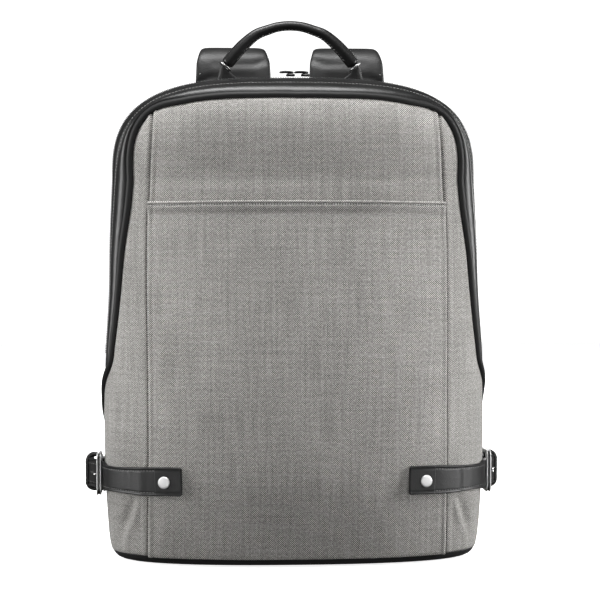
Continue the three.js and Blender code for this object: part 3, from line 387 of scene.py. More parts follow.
def flat_section(width, thickness, around=32, square=7.0, round_edge=2.3):
    """Flat section with rounded edges, as wide and as thick as the arrays say."""
    turn = 2 * math.pi * (np.arange(around) + 0.5) / around
    wide = np.sign(np.cos(turn)) * np.abs(np.cos(turn)) ** (2 / square)
    deep = np.sign(np.sin(turn)) * np.abs(np.sin(turn)) ** (2 / round_edge)
    width = np.atleast_1d(width)[:, None]
    thickness = np.atleast_1d(thickness)[:, None]
    return np.stack([wide * width / 2, deep * thickness / 2 + 0 * width], -1)


def strip_section(width, thickness, across=14, edge=5):
    """Flat section with half-round edges, closed, as wide as the array says."""
    width = np.atleast_1d(width)[:, None]
    thickness = np.atleast_1d(thickness)[:, None] + 0 * width
    radius = thickness / 2
    share = np.linspace(-1, 1, across)
    flat = share * (width / 2 - radius)
    turn = np.linspace(0, math.pi, edge + 2)[1:-1]
    right = (width / 2 - radius) + radius * np.sin(turn)
    left = -(width / 2 - radius) - radius * np.sin(turn)
    wide = np.concatenate([flat, right, flat[:, ::-1], left], 1)
    top = radius + 0 * flat
    deep = np.concatenate([top, radius * np.cos(turn), -top, -radius * np.cos(turn)], 1)
    return np.stack([wide, deep], -1)


def stitches(name, line, up, spacing=3.2, length=2.3, radius=0.42, sink=0.1, material=None, slant=0.0):
    """A row of sewn stitches along a line that lies on a surface."""
    gone = np.concatenate([[0], np.cumsum(np.linalg.norm(np.diff(line, axis=0), axis=1))])
    count = max(int(gone[-1] / spacing), 1)
    at = (np.arange(count) + 0.5) * gone[-1] / count
    place = np.stack([np.interp(at, gone, line[:, k]) for k in range(3)], -1)
    along = tangents(line)
    along = unit(np.stack([np.interp(at, gone, along[:, k]) for k in range(3)], -1))
    up = np.broadcast_to(np.asarray(up, float), line.shape)
    normal = unit(np.stack([np.interp(at, gone, up[:, k]) for k in range(3)], -1))
    across = unit(np.cross(normal, along))
    normal = np.cross(along, across)
    turned = unit(along + across * slant)
    across = np.cross(normal, turned)
    rings = ((-0.5, 0.25, -0.9), (-0.36, 0.85, -0.3), (0.0, 1.0, 0.0), (0.36, 0.85, -0.3), (0.5, 0.25, -0.9))
    turn = 2 * math.pi * np.arange(6) / 6
    points = []
    for shift, fat, dip in rings:
        centre = place + turned * length * shift + normal * (radius * (0.35 + dip) - sink)
        for angle in turn:
            rim = across * math.cos(angle) + normal * math.sin(angle)
            points.append(centre + rim * radius * fat)
    points = np.stack(points, 1)
    one = grid_faces(5, 6, wrap=True).tolist() + [[5, 4, 3, 2], [5, 2, 1, 0], [24, 25, 26, 27], [24, 27, 28, 29]]
    one = np.array(one)
    faces = (one[None] + 30 * np.arange(count)[:, None, None]).reshape(-1, 4)
    return make(name, points.reshape(-1, 3), faces, materials=(material,))


# Materials
class Shader:
    def __init__(self, name):
        self.material = bpy.data.materials.new(name)
        self.material.use_nodes = True
        self.tree = self.material.node_tree
        self.tree.nodes.clear()
        self.out = self.tree.nodes.new("ShaderNodeOutputMaterial")
        self.surface = self.tree.nodes.new("ShaderNodeBsdfPrincipled")
        self.link(self.surface.outputs[0], self.out.inputs[0])

    def link(self, source, target):
        self.tree.links.new(source, target)

    def put(self, socket, value):
        if hasattr(value, "is_output"):
            self.link(value, socket)
        else:
            socket.default_value = value

    def math(self, operation, a, b=0.0, c=0.0):
        node = self.tree.nodes.new("ShaderNodeMath")
        node.operation = operation
        for socket, value in zip(node.inputs, (a, b, c)):
            self.put(socket, value)
        return node.outputs[0]

    def place(self, kind="UV", scale=(1000, 1000, 1000)):
        coords = self.tree.nodes.new("ShaderNodeTexCoord")
        mapping = self.tree.nodes.new("ShaderNodeMapping")
        self.link(coords.outputs[kind], mapping.inputs[0])
        mapping.inputs["Scale"].default_value = scale
        return mapping.outputs[0]

    def split(self, vector):
        node = self.tree.nodes.new("ShaderNodeSeparateXYZ")
        self.link(vector, node.inputs[0])
        return node.outputs

    def noise(self, vector, scale, detail=2.0, rough=0.5):
        node = self.tree.nodes.new("ShaderNodeTexNoise")
        self.link(vector, node.inputs["Vector"])
        node.inputs["Scale"].default_value = scale
        node.inputs["Detail"].default_value = detail
        node.inputs["Roughness"].default_value = rough
        return node.outputs[0]

    def cells(self, vector, scale, feature="F1"):
        node = self.tree.nodes.new("ShaderNodeTexVoronoi")
        node.feature = feature
        self.link(vector, node.inputs["Vector"])
        node.inputs["Scale"].default_value = scale
        return node.outputs[0]

    def ramp(self, value, stops):
        node = self.tree.nodes.new("ShaderNodeValToRGB")
        self.put(node.inputs[0], value)
        ramp = node.color_ramp
        while len(ramp.elements) < len(stops):
            ramp.elements.new(0.5)
        for element, (at, colour) in zip(ramp.elements, stops):
            element.position = at
            element.color = tuple(colour) + (1,)
        return node.outputs[0]

    def bump(self, height, strength, distance, under=None):
        node = self.tree.nodes.new("ShaderNodeBump")
        self.put(node.inputs["Height"], height)
        node.inputs["Strength"].default_value = strength
        node.inputs["Distance"].default_value = distance
        if under is not None:
            self.link(under, node.inputs["Normal"])
        return node.outputs[0]

    def finish(self, colour, roughness, bump=None, **more):
        self.put(self.surface.inputs["Base Color"], colour)
        self.put(self.surface.inputs["Roughness"], roughness)
        if bump is not None:
            self.link(bump, self.surface.inputs["Normal"])
        for name, value in more.items():
            self.put(self.surface.inputs[name.replace("_", " ")], value)
        return self.material


def grey(value, warm=0.0):
    return (value * (1 + 0.5 * warm), value, value * (1 - warm))


def cloth_material():
    s = Shader("woven_cloth")
    place = s.place()
    u, v, _ = s.split(place)
    turn = 2 * math.pi / 1.85
    warp = s.math("SINE", s.math("MULTIPLY", u, turn))
    weft = s.math("SINE", s.math("MULTIPLY", v, turn))
    check = s.math("MULTIPLY", warp, weft)
    zig = s.math("PINGPONG", u, 6.0)
    twill = s.math("SINE", s.math("MULTIPLY", s.math("ADD", v, zig), 2 * math.pi / 6.0))
    speck = s.noise(place, 0.95, 2.0, 0.7)
    slub = s.noise(s.place(scale=(420, 20, 700)), 1.0, 2.0)
    yarn = s.noise(s.place(scale=(22, 420, 700)), 1.0, 2.0)
    cloud = s.noise(s.place(scale=(16, 12, 16)), 1.0, 3.0)
    value = s.math("MULTIPLY", check, 0.5)
    value = s.math("ADD", value, s.math("MULTIPLY", twill, 0.03))
    value = s.math("ADD", value, s.math("MULTIPLY", s.math("SUBTRACT", speck, 0.5), 1.3))
    value = s.math("ADD", value, s.math("MULTIPLY", s.math("SUBTRACT", slub, 0.5), 0.34))
    value = s.math("ADD", value, s.math("MULTIPLY", s.math("SUBTRACT", yarn, 0.5), 0.26))
    value = s.math("ADD", value, s.math("MULTIPLY", s.math("SUBTRACT", cloud, 0.5), 0.22))
    value = s.math("ADD", value, 0.5)
    colour = s.ramp(value, ((0.0, grey(0.03, 0.06)), (0.5, grey(0.17, 0.07)), (1.0, grey(0.53, 0.045))))
    bump = s.bump(value, 0.5, 0.0004)
    return s.finish(colour, 0.92, bump, Sheen_Weight=0.12, Sheen_Roughness=0.6)


def leather_material(name="leather", tone=0.012, rough=0.36, grain=0.12, cell=1.1):
    s = Shader(name)
    place = s.place("Object")
    cells = s.cells(place, 1 / cell)
    fine = s.noise(place, 1.4, 3.0)
    wide = s.noise(place, 0.045, 3.0)
    tones = s.math("ADD", s.math("MULTIPLY", wide, 0.7), s.math("MULTIPLY", fine, 0.3))
    colour = s.ramp(tones, ((0.3, grey(tone * 0.75)), (0.7, grey(tone * 1.35))))
    roughness = s.math("MULTIPLY_ADD", wide, 0.14, rough - 0.07)
    roughness = s.math("MULTIPLY_ADD", fine, 0.08, s.math("SUBTRACT", roughness, 0.04))
    bump = s.bump(cells, grain, 0.0003)
    bump = s.bump(fine, 0.1, 0.0004, bump)
    bump = s.bump(s.noise(place, 0.16, 2.0), 0.12, 0.0015, bump)
    return s.finish(colour, roughness, bump, Specular_IOR_Level=0.3)


def mesh_material():
    s = Shader("air_mesh")
    place = s.place("Object")
    cells = s.cells(place, 0.55)
    # The holes are painted much darker than the yarn between them: partly the dark layer seen through them, partly
    # painted shade inside them.
    holes_with_painted_shade = s.ramp(cells, ((0.25, grey(0.006)), (0.5, grey(0.03)), (0.8, grey(0.05))))
    bump = s.bump(cells, 0.7, 0.0006)
    return s.finish(holes_with_painted_shade, 0.85, bump, Sheen_Weight=0.1)


def webbing_material(name="webbing", tone=0.016):
    s = Shader(name)
    place = s.place("Object")
    x, y, z = s.split(place)
    run = s.math("ADD", s.math("ADD", z, s.math("MULTIPLY", y, 0.6)), s.math("MULTIPLY", x, 0.35))
    rib = s.math("SINE", s.math("MULTIPLY", run, 2 * math.pi / 1.4))
    knit = s.math("SINE", s.math("MULTIPLY", x, 2 * math.pi / 1.1))
    value = s.math("ADD", s.math("MULTIPLY", rib, 0.25), s.math("MULTIPLY", knit, 0.2))
    value = s.math("ADD", value, s.noise(place, 0.9, 2.0))
    colour = s.ramp(value, ((0.1, grey(tone * 0.5)), (0.9, grey(tone * 1.9))))
    return s.finish(colour, 0.75, s.bump(value, 0.5, 0.0005), Sheen_Weight=0.15)


def metal_material(name, tone, rough):
    s = Shader(name)
    place = s.place("Object")
    marks = s.noise(s.place("Object", (300, 300, 4000)), 1.0, 3.0)
    cloud = s.noise(place, 0.12, 2.0)
    colour = s.ramp(cloud, ((0.3, grey(tone * 0.93)), (0.7, grey(tone))))
    roughness = s.math("MULTIPLY_ADD", marks, 0.1, rough - 0.05)
    return s.finish(colour, roughness, s.bump(marks, 0.03, 0.0002), Metallic=1.0)


def plastic_material(name="moulded_plastic", tone=0.013, rough=0.45):
    s = Shader(name)
    place = s.place("Object")
    grain = s.noise(place, 2.2, 2.0)
    colour = s.ramp(s.noise(place, 0.1, 2.0), ((0.3, grey(tone * 0.85)), (0.7, grey(tone * 1.2))))
    return s.finish(colour, rough, s.bump(grain, 0.12, 0.0002))


def thread_material(name, tone):
    s = Shader(name)
    place = s.place("Object")
    twist = s.noise(s.place("Object", (1800, 1800, 1800)), 1.0, 2.0)
    colour = s.ramp(s.noise(place, 0.5, 2.0), ((0.3, grey(tone * 0.7, 0.02)), (0.7, grey(tone * 1.15, 0.02))))
    return s.finish(colour, 0.7, s.bump(twist, 0.4, 0.0003), Sheen_Weight=0.2)


CLOTH = cloth_material()
LEATHER = leather_material("leather", 0.007, 0.36, 0.08)
STRAP_LEATHER = leather_material("strap_leather", 0.006, 0.46, 0.2, 1.0)
PIPING_LEATHER = leather_material("piping_leather", 0.006, 0.6, 0.1)
GRAIN_LEATHER = leather_material("grain_leather", 0.02, 0.55, 0.55, 1.3)
BASE_LEATHER = leather_material("base_leather", 0.007, 0.5, 0.4, 1.3)
AIR_MESH = mesh_material()
WEBBING = webbing_material()
ZIP_WEAVE = webbing_material("zip_weave", 0.011)
SILVER = metal_material("polished_metal", 0.5, 0.24)
SNAP_METAL = metal_material("matt_metal", 0.62, 0.55)
DARK_METAL = metal_material("dark_metal", 0.05, 0.34)
RING_METAL = metal_material("ring_metal", 0.28, 0.35)
BUCKLE_METAL = metal_material("buckle_metal", 0.5, 0.42)
PLASTIC = plastic_material()
PALE_THREAD = thread_material("pale_thread", 0.22)
STRAP_THREAD = thread_material("strap_thread", 0.08)
GREY_THREAD = thread_material("grey_thread", 0.12)
HEM_THREAD = thread_material("hem_thread", 0.62)


def ripple(u, v, size, seed):
    """Soft unevenness of a fabric, the same at each run."""
    rng = np.random.default_rng(seed)
    total = np.zeros(np.broadcast(u, v).shape)
    for _ in range(9):
        angle = rng.uniform(0, math.pi)
        wave = size * rng.uniform(0.6, 1.7)
        phase = rng.uniform(0, 2 * math.pi)
        total += np.sin(2 * math.pi * (u * math.cos(angle) + v * math.sin(angle)) / wave + phase)
    return total / 9


# Cloth panels
def shares(count, edge=0.0):
    """Shares from 0 to 1 that lie closer together near both ends."""
    t = np.linspace(0, 1, count)
    return t + edge * np.sin(2 * math.pi * t) / (-2 * math.pi)


def front_place(across, z):
    x = across * (seam_half(np.minimum(z, SEAM_TOP)) - SEAM_GAP / 2)
    return front_point(x, z)


def edge_fold(distance):
    """The rolled fold beside a seam, from the distance to the cloth's edge."""
    fold = 0.6 * np.exp(-((distance - 2.8) / 1.6) ** 2)
    valley = -0.3 * np.exp(-((distance - 5.6) / 1.6) ** 2)
    return fold + valley - 2.0 * np.exp(-(distance / 0.65) ** 2)


def front_panel():
    rows, columns = 150, 130
    across = np.sin(np.linspace(-1, 1, columns) * math.pi / 2 * 0.985) / math.sin(math.pi / 2 * 0.985)
    up = np.linspace(0, 1, rows)[:, None]
    reach = seam_half(SEAM_TOP) - SEAM_GAP / 2
    top = cloth_top(across * reach)[None, :]
    z = CLOTH_BOTTOM + (top - CLOTH_BOTTOM) * (1 - (1 - up) ** 1.25)
    points = front_place(across[None, :] + 0 * z, z)
    normals = normals_of(points)
    beside = (1 - np.abs(across))[None, :] * (seam_half(np.minimum(z, SEAM_TOP)))
    lift = edge_fold(beside) * ease(HEM_HEIGHT - 5, HEM_HEIGHT + 5, z)
    lift = lift + 0.35 * ripple(points[..., 0], z, 70, 3) * ease(2, 14, beside)
    lift = lift - 0.5 * (1 - ease(0, 3, top - z))
    points = points + normals * lift[..., None]
    uv = np.stack([points[..., 0], points[..., 2]], -1)
    body, faces, flat = shell(points, normals, 2.0, uv, 4, 0.3)
    obj = make("front_cloth", body, faces, flat, (CLOTH,))
    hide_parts("front_panel")
    return obj


def pocket_stand(up, across):
    rim = np.power(np.clip(np.sin(math.pi * across), 0, 1), 0.7) * ease(0, 0.25, up)
    return 1.2 + 1.8 + POCKET_FULLNESS * rim


def pocket_place(across, z):
    """Outer surface of the pocket, with its normals and its distances from the edges."""
    points = front_place(2 * across - 1, z)
    normals = normals_of(points)
    up = (z - CLOTH_BOTTOM) / (HEM_HEIGHT - CLOTH_BOTTOM)
    beside = np.minimum(across, 1 - across) * 2 * seam_half(z)
    below = HEM_HEIGHT - z
    lift = pocket_stand(up, across)
    lift = lift + edge_fold(beside)
    hem = 1.5 * ease(11.5, 3.5, below) + 0.5 * np.exp(-((below - 1.0) / 1.0) ** 2)
    hem = hem - 1.0 * np.exp(-((below - 2.9) / 0.75) ** 2)
    lift = lift + hem
    lift = lift + 0.5 * ripple(points[..., 0], z, 85, 11) * ease(2, 14, beside)
    return points + normals * lift[..., None], normals


def front_pocket():
    columns = 140
    across = (np.sin(np.linspace(-1, 1, columns) * math.pi / 2 * 0.985) / math.sin(math.pi / 2 * 0.985) + 1) / 2
    low = np.linspace(CLOTH_BOTTOM, HEM_HEIGHT - 13, 110)
    high = np.linspace(HEM_HEIGHT - 13, HEM_HEIGHT, 34)[1:]
    z = np.concatenate([low, high])[:, None] + 0 * across[None, :]
    points, normals = pocket_place(across[None, :] + 0 * z, z)
    uv = np.stack([points[..., 0] + 1.7, points[..., 2] + 0.8], -1)
    thick = 1.8 + 1.2 * ease(10, 8, HEM_HEIGHT - z)
    body, faces, flat = shell(points, normals, thick, uv, 4, 0.3)
    obj = make("front_pocket_cloth", body, faces, flat, (CLOTH,))
    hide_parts("front_pocket")
    line = np.linspace(0.012, 0.988, 240)[None, :]
    rows = np.array([-0.4, 0.0, 0.4])[:, None] + HEM_HEIGHT - 2.9
    place, normal = pocket_place(line + 0 * rows, rows + 0 * line)
    stitches("pocket_hem_stitches", place[1], normal[1], 2.3, 1.35, 0.52, -0.3, HEM_THREAD)


def side_panel(side, name):
    rows, columns = 170, 80
    top = SEAM_TOP + 5.5
    z = np.linspace(CLOTH_BOTTOM, top, rows)[:, None]
    across = (np.sin(np.linspace(-1, 1, columns) * math.pi / 2 * 0.97) / math.sin(math.pi / 2 * 0.97) + 1) / 2
    across = np.power(across, 1.1)[None, :]
    seam = front_point(seam_half(z) + SEAM_GAP / 2, z)[..., 1]
    rear = np.maximum(side_rear(np.minimum(z, SEAM_TOP + 1)), seam + 3 + 0 * z)
    y = mix(seam, rear, across)
    points = side_point(float(side), y, z + 0 * y)
    normals = normals_of(points)
    steps = np.linalg.norm(np.diff(points, axis=1), axis=-1)
    gone = np.concatenate([np.zeros((rows, 1)), np.cumsum(steps, axis=1)], 1)
    rest = gone[:, -1:] - gone
    lift = -2.1 * np.exp(-(gone / 0.65) ** 2) + 0.5 * np.exp(-((gone - 3.5) / 2.6) ** 2)
    lift = lift - 1.0 * np.exp(-(rest / 2.0) ** 2)
    inside = ease(2, 14, gone) * ease(2, 14, rest)
    lift = lift + 0.5 * ripple(gone, z, 60, 21 if side < 0 else 22) * inside
    fold = np.exp(-((gone - 14 - (60 - z) * 0.4) / 5) ** 2) * np.exp(-((z - 42) / 17) ** 2)
    lift = lift - 3.0 * fold * inside
    lift = lift + 1.7 * np.exp(-((gone - 5 - (60 - z) * 0.4) / 4) ** 2) * np.exp(-((z - 42) / 17) ** 2) * inside
    points = points + normals * lift[..., None]
    uv = np.stack([side * (gone + 131.0), z + 0 * gone + 0.4], -1)
    body, faces, flat = shell(points, normals, 2.0, uv, 4, 0.3)
    obj = make("side_cloth_" + name, body, faces, flat, (CLOTH,))
    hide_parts("side_panel_" + name)


front_panel()
front_pocket()
for name, side in SIDES:
    side_panel(side, name)


# Leather bands round the top and sides
def station_list(lowest, count):
    """Stations all round the band, evenly spaced along it."""
    coarse = np.concatenate([np.linspace(lowest - BAND_CENTRE, 0, 60)[:-1], np.linspace(0, 180, 361)[:-1],
                             180 - np.linspace(0, lowest - BAND_CENTRE, 60)])
    line = band_point(coarse, 0.0)
    gone = np.concatenate([[0], np.cumsum(np.linalg.norm(np.diff(line, axis=0), axis=1))])
    return np.interp(np.linspace(0, gone[-1], count), gone, coarse), np.linspace(0, gone[-1], count)


def front_piping():
    station, gone = station_list(PIPING_END, 620)
    line = band_point(station, piping_depth(station))
    away = unit(band_point(station, piping_depth(station)) - stack(0, piping_depth(station) + 60, np.minimum(line[:, 2], 300) * 0.9))
    frames = frames_along(line, away)
    wobble = 1 + 0.035 * np.sin(gone / 9.0) * np.sin(gone / 23.0 + 1)
    ends = np.minimum(ease(-2, 9, gone), ease(-2, 9, gone[-1] - gone))
    radius = (PIPING_RADIUS + 0.25) * wobble * (0.25 + 0.75 * ends)
    sections = circle(1.0, 18)[None] * radius[:, None, None]
    points, faces = sweep(frames, sections)
    obj = make("piping", points, faces, materials=(PIPING_LEATHER,))
    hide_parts("front_piping")


SEAM_STATION = (-150, -100, -72, -40, 0, 27, 35, 41, 48, 52, 57, 65, 90)
SEAM_PLACE = (0.3, 0.3, 0.5, 0.6, 0.62, 0.56, 0.4, 0.33, 0.3, 0.33, 0.37, 0.38, 0.38)


def gusset_seam(station):
    share = np.interp(mirrored(station), SEAM_STATION, SEAM_PLACE)
    return mix(gusset_edge(station), ZIP_FRONT - 0.3, share)


def front_gusset():
    station, gone = station_list(115.0, 520)
    columns = 56
    height = BAND_CENTRE + np.minimum(mirrored(station), 0)
    rear = mix(BACK_EDGE - SEAM_GAP, ZIP_FRONT - 0.3, ease(ZIP_END - 3.5, ZIP_END, height))
    front = gusset_edge(station)
    seam = gusset_seam(station)
    share = np.linspace(0, 1, columns)[None, :]
    part = 0.62
    near = front[:, None] + (seam - front)[:, None] * np.clip(share / part, 0, 1)
    y = near + (rear - seam)[:, None] * np.clip((share - part) / (1 - part), 0, 1)
    points = band_point(station[:, None] + 0 * y, y)
    normals = normals_of(points)
    steps = np.linalg.norm(np.diff(points, axis=1), axis=-1)
    away = np.concatenate([np.zeros((len(station), 1)), np.cumsum(steps, axis=1)], 1)
    middle = np.take_along_axis(away, np.full((len(station), 1), int(part * (columns - 1))), 1)
    d = away - middle
    visible = ease(150, 185, height)[:, None]
    roll = 0.25 * np.exp(-((d + 1.5) / 1.1) ** 2) - 0.8 * np.exp(-((d - 0.4) / 0.5) ** 2)
    lift = roll * (0.25 + 0.75 * visible)
    reach = np.clip(away / np.maximum(middle - 2.6, 1), 0, 1)
    lift = lift + 1.9 * np.sin(math.pi * reach) * (0.3 + 0.7 * visible)
    lift = lift - 0.7 * np.exp(-(away / 1.2) ** 2)
    lift = lift + 0.12 * ripple(gone[:, None] + 0 * away, away, 38, 31)
    points = points + normals * lift[..., None]
    uv = np.stack([gone[:, None] + 0 * away, away], -1)
    body, faces, flat = shell(points, normals, 1.8, uv)
    obj = make("front_gusset_leather", body, faces, flat, (LEATHER,))
    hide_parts("front_gusset")
    row = int(part * (columns - 1))
    pick = (height > 150)
    line = points[pick, row - 3]
    up = normals[pick, row - 3]
    stitches("gusset_stitches", line, up, 3.0, 2.1, 0.34, 0.0, PALE_THREAD)


def plain_band(name, node, lowest, front, rear, columns, stand, thickness, material, waves=0.15):
    station, gone = station_list(lowest, 460)
    y = np.linspace(front, rear, columns)[None, :] + 0 * station[:, None]
    points = band_point(station[:, None] + 0 * y, y)
    normals = normals_of(points)
    away = np.linspace(0, rear - front, columns)[None, :] + 0 * y
    lift = stand + waves * ripple(gone[:, None] + 0 * away, away, 38, 41)
    points = points + normals * lift[..., None]
    uv = np.stack([gone[:, None] + 0 * away, away], -1)
    body, faces, flat = shell(points, normals, thickness, uv)
    obj = make(name, body, faces, flat, (material,))
    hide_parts(node)
    return points, normals, station, gone


def rear_gusset():
    front = ZIP_FRONT + ZIP_WIDTH + 0.3
    rear = BACK_EDGE - SEAM_GAP
    points, normals, station, gone = plain_band(
        "rear_gusset_leather", "rear_gusset", ZIP_END + 0.3, front, rear, 26, 0.0, 1.8, LEATHER)
    for label, column in (("front", 2), ("rear", 23)):
        stitches("rear_gusset_stitches_" + label, points[:, column], normals[:, column], 3.4, 2.4, 0.34, 0.0, GREY_THREAD)


def zip_parts():
    plain_band("zip_tape_weave", "zip_tape", ZIP_END + 0.3, ZIP_FRONT - 0.2, ZIP_FRONT + ZIP_WIDTH + 0.2, 12,
               -0.9, 1.0, ZIP_WEAVE, 0.0)
    station, gone = station_list(ZIP_END + 1.5, 2)
    count = int(gone[-1] / 1.5)
    station, gone = station_list(ZIP_END + 1.5, count)
    middle = ZIP_FRONT + ZIP_WIDTH / 2
    place = band_point(station, middle)
    along = tangents(place)
    across = np.zeros_like(along)
    across[:, 1] = 1
    across = unit(across - along * np.sum(across * along, axis=-1, keepdims=True))
    normal = np.cross(across, along)
    away = np.sum(normal * (place - np.array([0, 0, BAND_CENTRE])), axis=-1)
    normal = normal * np.where(away < 0, -1.0, 1.0)[:, None]
    turn = np.where(np.arange(count) % 2 == 0, 1.0, -1.0)[:, None]
    outline = ((-0.42, -2.1), (0.42, -2.1), (0.5, 0.2), (0.3, 0.75), (-0.3, 0.75), (-0.5, 0.2))
    points = []
    for height, scale in ((-0.6, 1.0), (0.75, 1.0), (1.0, 0.72)):
        for a, b in outline:
            points.append(place + along * a * scale + across * (b * scale + 0.6) * turn + normal * height)
    points = np.stack(points, 1)
    one = grid_faces(3, 6, wrap=True).tolist() + [[3, 2, 1, 0], [5, 4, 3, 0], [12, 13, 14, 15], [12, 15, 16, 17]]
    faces = (np.array(one)[None] + 18 * np.arange(count)[:, None, None]).reshape(-1, 4)
    obj = make("zip_teeth_row", points.reshape(-1, 3), faces, materials=(DARK_METAL,), smooth=False)
    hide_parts("zip_teeth")


front_piping()
front_gusset()
rear_gusset()
zip_parts()


def mirror(points, side):
    points = np.array(points, float)
    points[..., 0] *= side
    return points


def outward(x, z):
    before = front_point(x - 0.5, z)
    after = front_point(x + 0.5, z)
    return unit(stack(after[..., 1] - before[..., 1], before[..., 0] - after[..., 0], 0 * z))


SIDE_SURFACE = float(half_width(STRAP_HEIGHT))
STRAP_SEAM = float(seam_half(STRAP_HEIGHT))
BUCKLE_INNER = SIDE_SURFACE + STRAP_STAND + STRAP_THICKNESS + 0.3
BUCKLE_OUTER = BUCKLE_INNER + 4


def cloth_stand(x):
    across = np.clip((np.abs(x) / STRAP_SEAM + 1) / 2, 0, 1)
    up = (STRAP_HEIGHT - CLOTH_BOTTOM) / (HEM_HEIGHT - CLOTH_BOTTOM) + 0.05
    return pocket_stand(up, across) * (1 - ease(STRAP_SEAM + 4, STRAP_SEAM + 16, np.abs(x)))


def side_strap_line(side, count):
    points = []
    stand = STRAP_STAND + STRAP_THICKNESS / 2
    turn_wide = SIDE_SURFACE * 0.93
    for x in np.linspace(TAB_END[side], turn_wide - 6, 10):
        at = front_point(x, STRAP_HEIGHT)
        rise = mix(1.0, -1.2, ease(TAB_END[side], turn_wide, x))
        points.append(at + outward(x, STRAP_HEIGHT) * (cloth_stand(x) + stand) + np.array([0, 0, rise]))
    turn_depth = front_point(turn_wide, STRAP_HEIGHT)[1]
    for share in (0.25, 0.5, 0.75, 1):
        at = side_point(1.0, mix(turn_depth, -13, share), STRAP_HEIGHT)
        points.append(at + np.array([stand, -stand * 0.4 * (1 - share), -1.2 - 0.6 * share]))
    tail = SIDE_SURFACE + 14.2
    clear = BUCKLE_OUTER + 0.6 + STRAP_THICKNESS / 2
    low = STRAP_HEIGHT - 1.8
    points.append(np.array([mix(BUCKLE_INNER, BUCKLE_OUTER, 0.35), 0, low]))
    points.append(np.array([clear, 15 - 3.8 - 1.5, low]))
    points.append(np.array([tail, 19, low]))
    points.append(np.array([tail + 0.6, 29, low]))
    points.append(np.array([tail - 1, 46, low]))
    return smooth_path(points, count)


def rounded_ends(gone, corner_first, corner_last):
    """How much narrower a strip is near its rounded ends."""
    total = gone[-1]
    first = np.clip(1 - gone / max(corner_first, 1e-6), 0, 1)
    last = np.clip(1 - (total - gone) / max(corner_last, 1e-6), 0, 1)
    return corner_first * (1 - np.sqrt(1 - first ** 2)) + corner_last * (1 - np.sqrt(1 - last ** 2))


def strip_gone(line):
    return np.concatenate([[0], np.cumsum(np.linalg.norm(np.diff(line, axis=0), axis=1))])


def strap_strip(name, line, wide, width, thickness, material, corners=(4.0, 4.0), crown=0.35, tab=0.0):
    """A flat strap with rounded ends and edges that are a little rolled."""
    total = strip_gone(line)[-1]
    t = np.concatenate([np.linspace(0, 1, 10)[:-1] ** 2 * 0.02, np.linspace(0.02, 0.98, len(line)),
                        1 - (np.linspace(1, 0, 10)[1:] ** 2) * 0.02])
    gone = strip_gone(line)
    at = np.unique(np.concatenate([t * total, [tab - 0.6, tab - 0.4, tab - 0.2, tab + 0.1] if tab else []]))
    line = np.stack([np.interp(at, gone, line[:, k]) for k in range(3)], -1)
    frames = frames_along(line, wide)
    narrower = 2 * rounded_ends(at, *corners)
    widths = width * ((mix(1.0, 0.89, ease(24, 76, at)) + 0.14 * ease(84, 94, at)) if tab else 1.0) - narrower
    thin = np.minimum(1, 0.45 + np.minimum(at, total - at) / 1.2)
    sections = strip_section(widths, thickness * thin, 26, 5)
    share = sections[..., 0] / (widths[:, None] / 2)
    bead = crown * np.exp(-((np.abs(share) - 0.94) / 0.06) ** 2)
    bead = bead - crown * 0.8 * np.exp(-((np.abs(share) - 0.8) / 0.06) ** 2)
    sections[..., 1] = sections[..., 1] + np.sign(sections[..., 1]) * bead * (np.abs(sections[..., 1]) > thickness * 0.3)
    if tab:
        outer = 1 if frames[2][0, 1] < 0 else -1
        raised = 0.7 * (1 - ease(tab - 0.5, tab, at))[:, None] * (sections[..., 1] * outer > thickness * 0.3)
        sections[..., 1] = sections[..., 1] + outer * raised
    points, faces = sweep(frames, sections)
    return make(name, points, faces, materials=(material,))


def side_straps():
    for name, side in SIDES:
        line = mirror(side_strap_line(side, 150), side)
        obj = strap_strip("side_strap_leather_" + name, line, (0, 0, 1), STRAP_WIDTH, STRAP_THICKNESS, STRAP_LEATHER,
                          (2.2, 6.0), crown=0.5, tab=24.0)
        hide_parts("side_strap_" + name)
        frames = frames_along(line, (0, 0, 1))
        face = frames[2] * (1 if frames[2][0, 1] < 0 else -1)
        gone = strip_gone(line)
        surface = line + face * (STRAP_THICKNESS / 2)
        for label, rise in (("upper", 9.3), ("lower", -9.3)):
            pick = (gone > 3) & (gone < gone[-1] - 8)
            stitches("side_strap_stitches_" + label + "_" + name, surface[pick] + np.array([0, 0, 1.0]) * (rise * mix(1.0, 0.87, ease(24, 76, gone[pick])))[:, None], face[pick],
                     3.0, 2.0, 0.3, 0.1, STRAP_THREAD)
        for label, place in (("tab", 3.2), ("seam", 21.6)):
            at = np.array([np.interp(place, gone, surface[:, k]) for k in range(3)])
            up = np.array([np.interp(place, gone, face[:, k]) for k in range(3)])
            rise = np.linspace(-8.6, 8.6, 12)[:, None]
            stitches("side_strap_stitches_" + label + "_" + name, at + rise * np.array([0, 0, 1.0]), up,
                     3.0, 2.0, 0.3, 0.1, STRAP_THREAD)
        rear = []
        for y in np.linspace(15 - 3.8 - 6, BACK_EDGE - 2, 9):
            tangent = side_point(1.0, y + 0.5, STRAP_HEIGHT) - side_point(1.0, y - 0.5, STRAP_HEIGHT)
            normal = unit(np.array([tangent[1], -tangent[0], 0]))
            rear.append(side_point(1.0, y, STRAP_HEIGHT) + normal * (0.6 + STRAP_THICKNESS / 2))
        rear_line = mirror(smooth_path(rear, 40), side)
        obj = strap_strip("rear_strap_leather_" + name, rear_line, (0, 0, 1), STRAP_WIDTH, STRAP_THICKNESS,
                          STRAP_LEATHER, (1.5, 1.5))
        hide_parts("rear_strap_" + name)
        keeper(name, side)
        buckle(name, side)


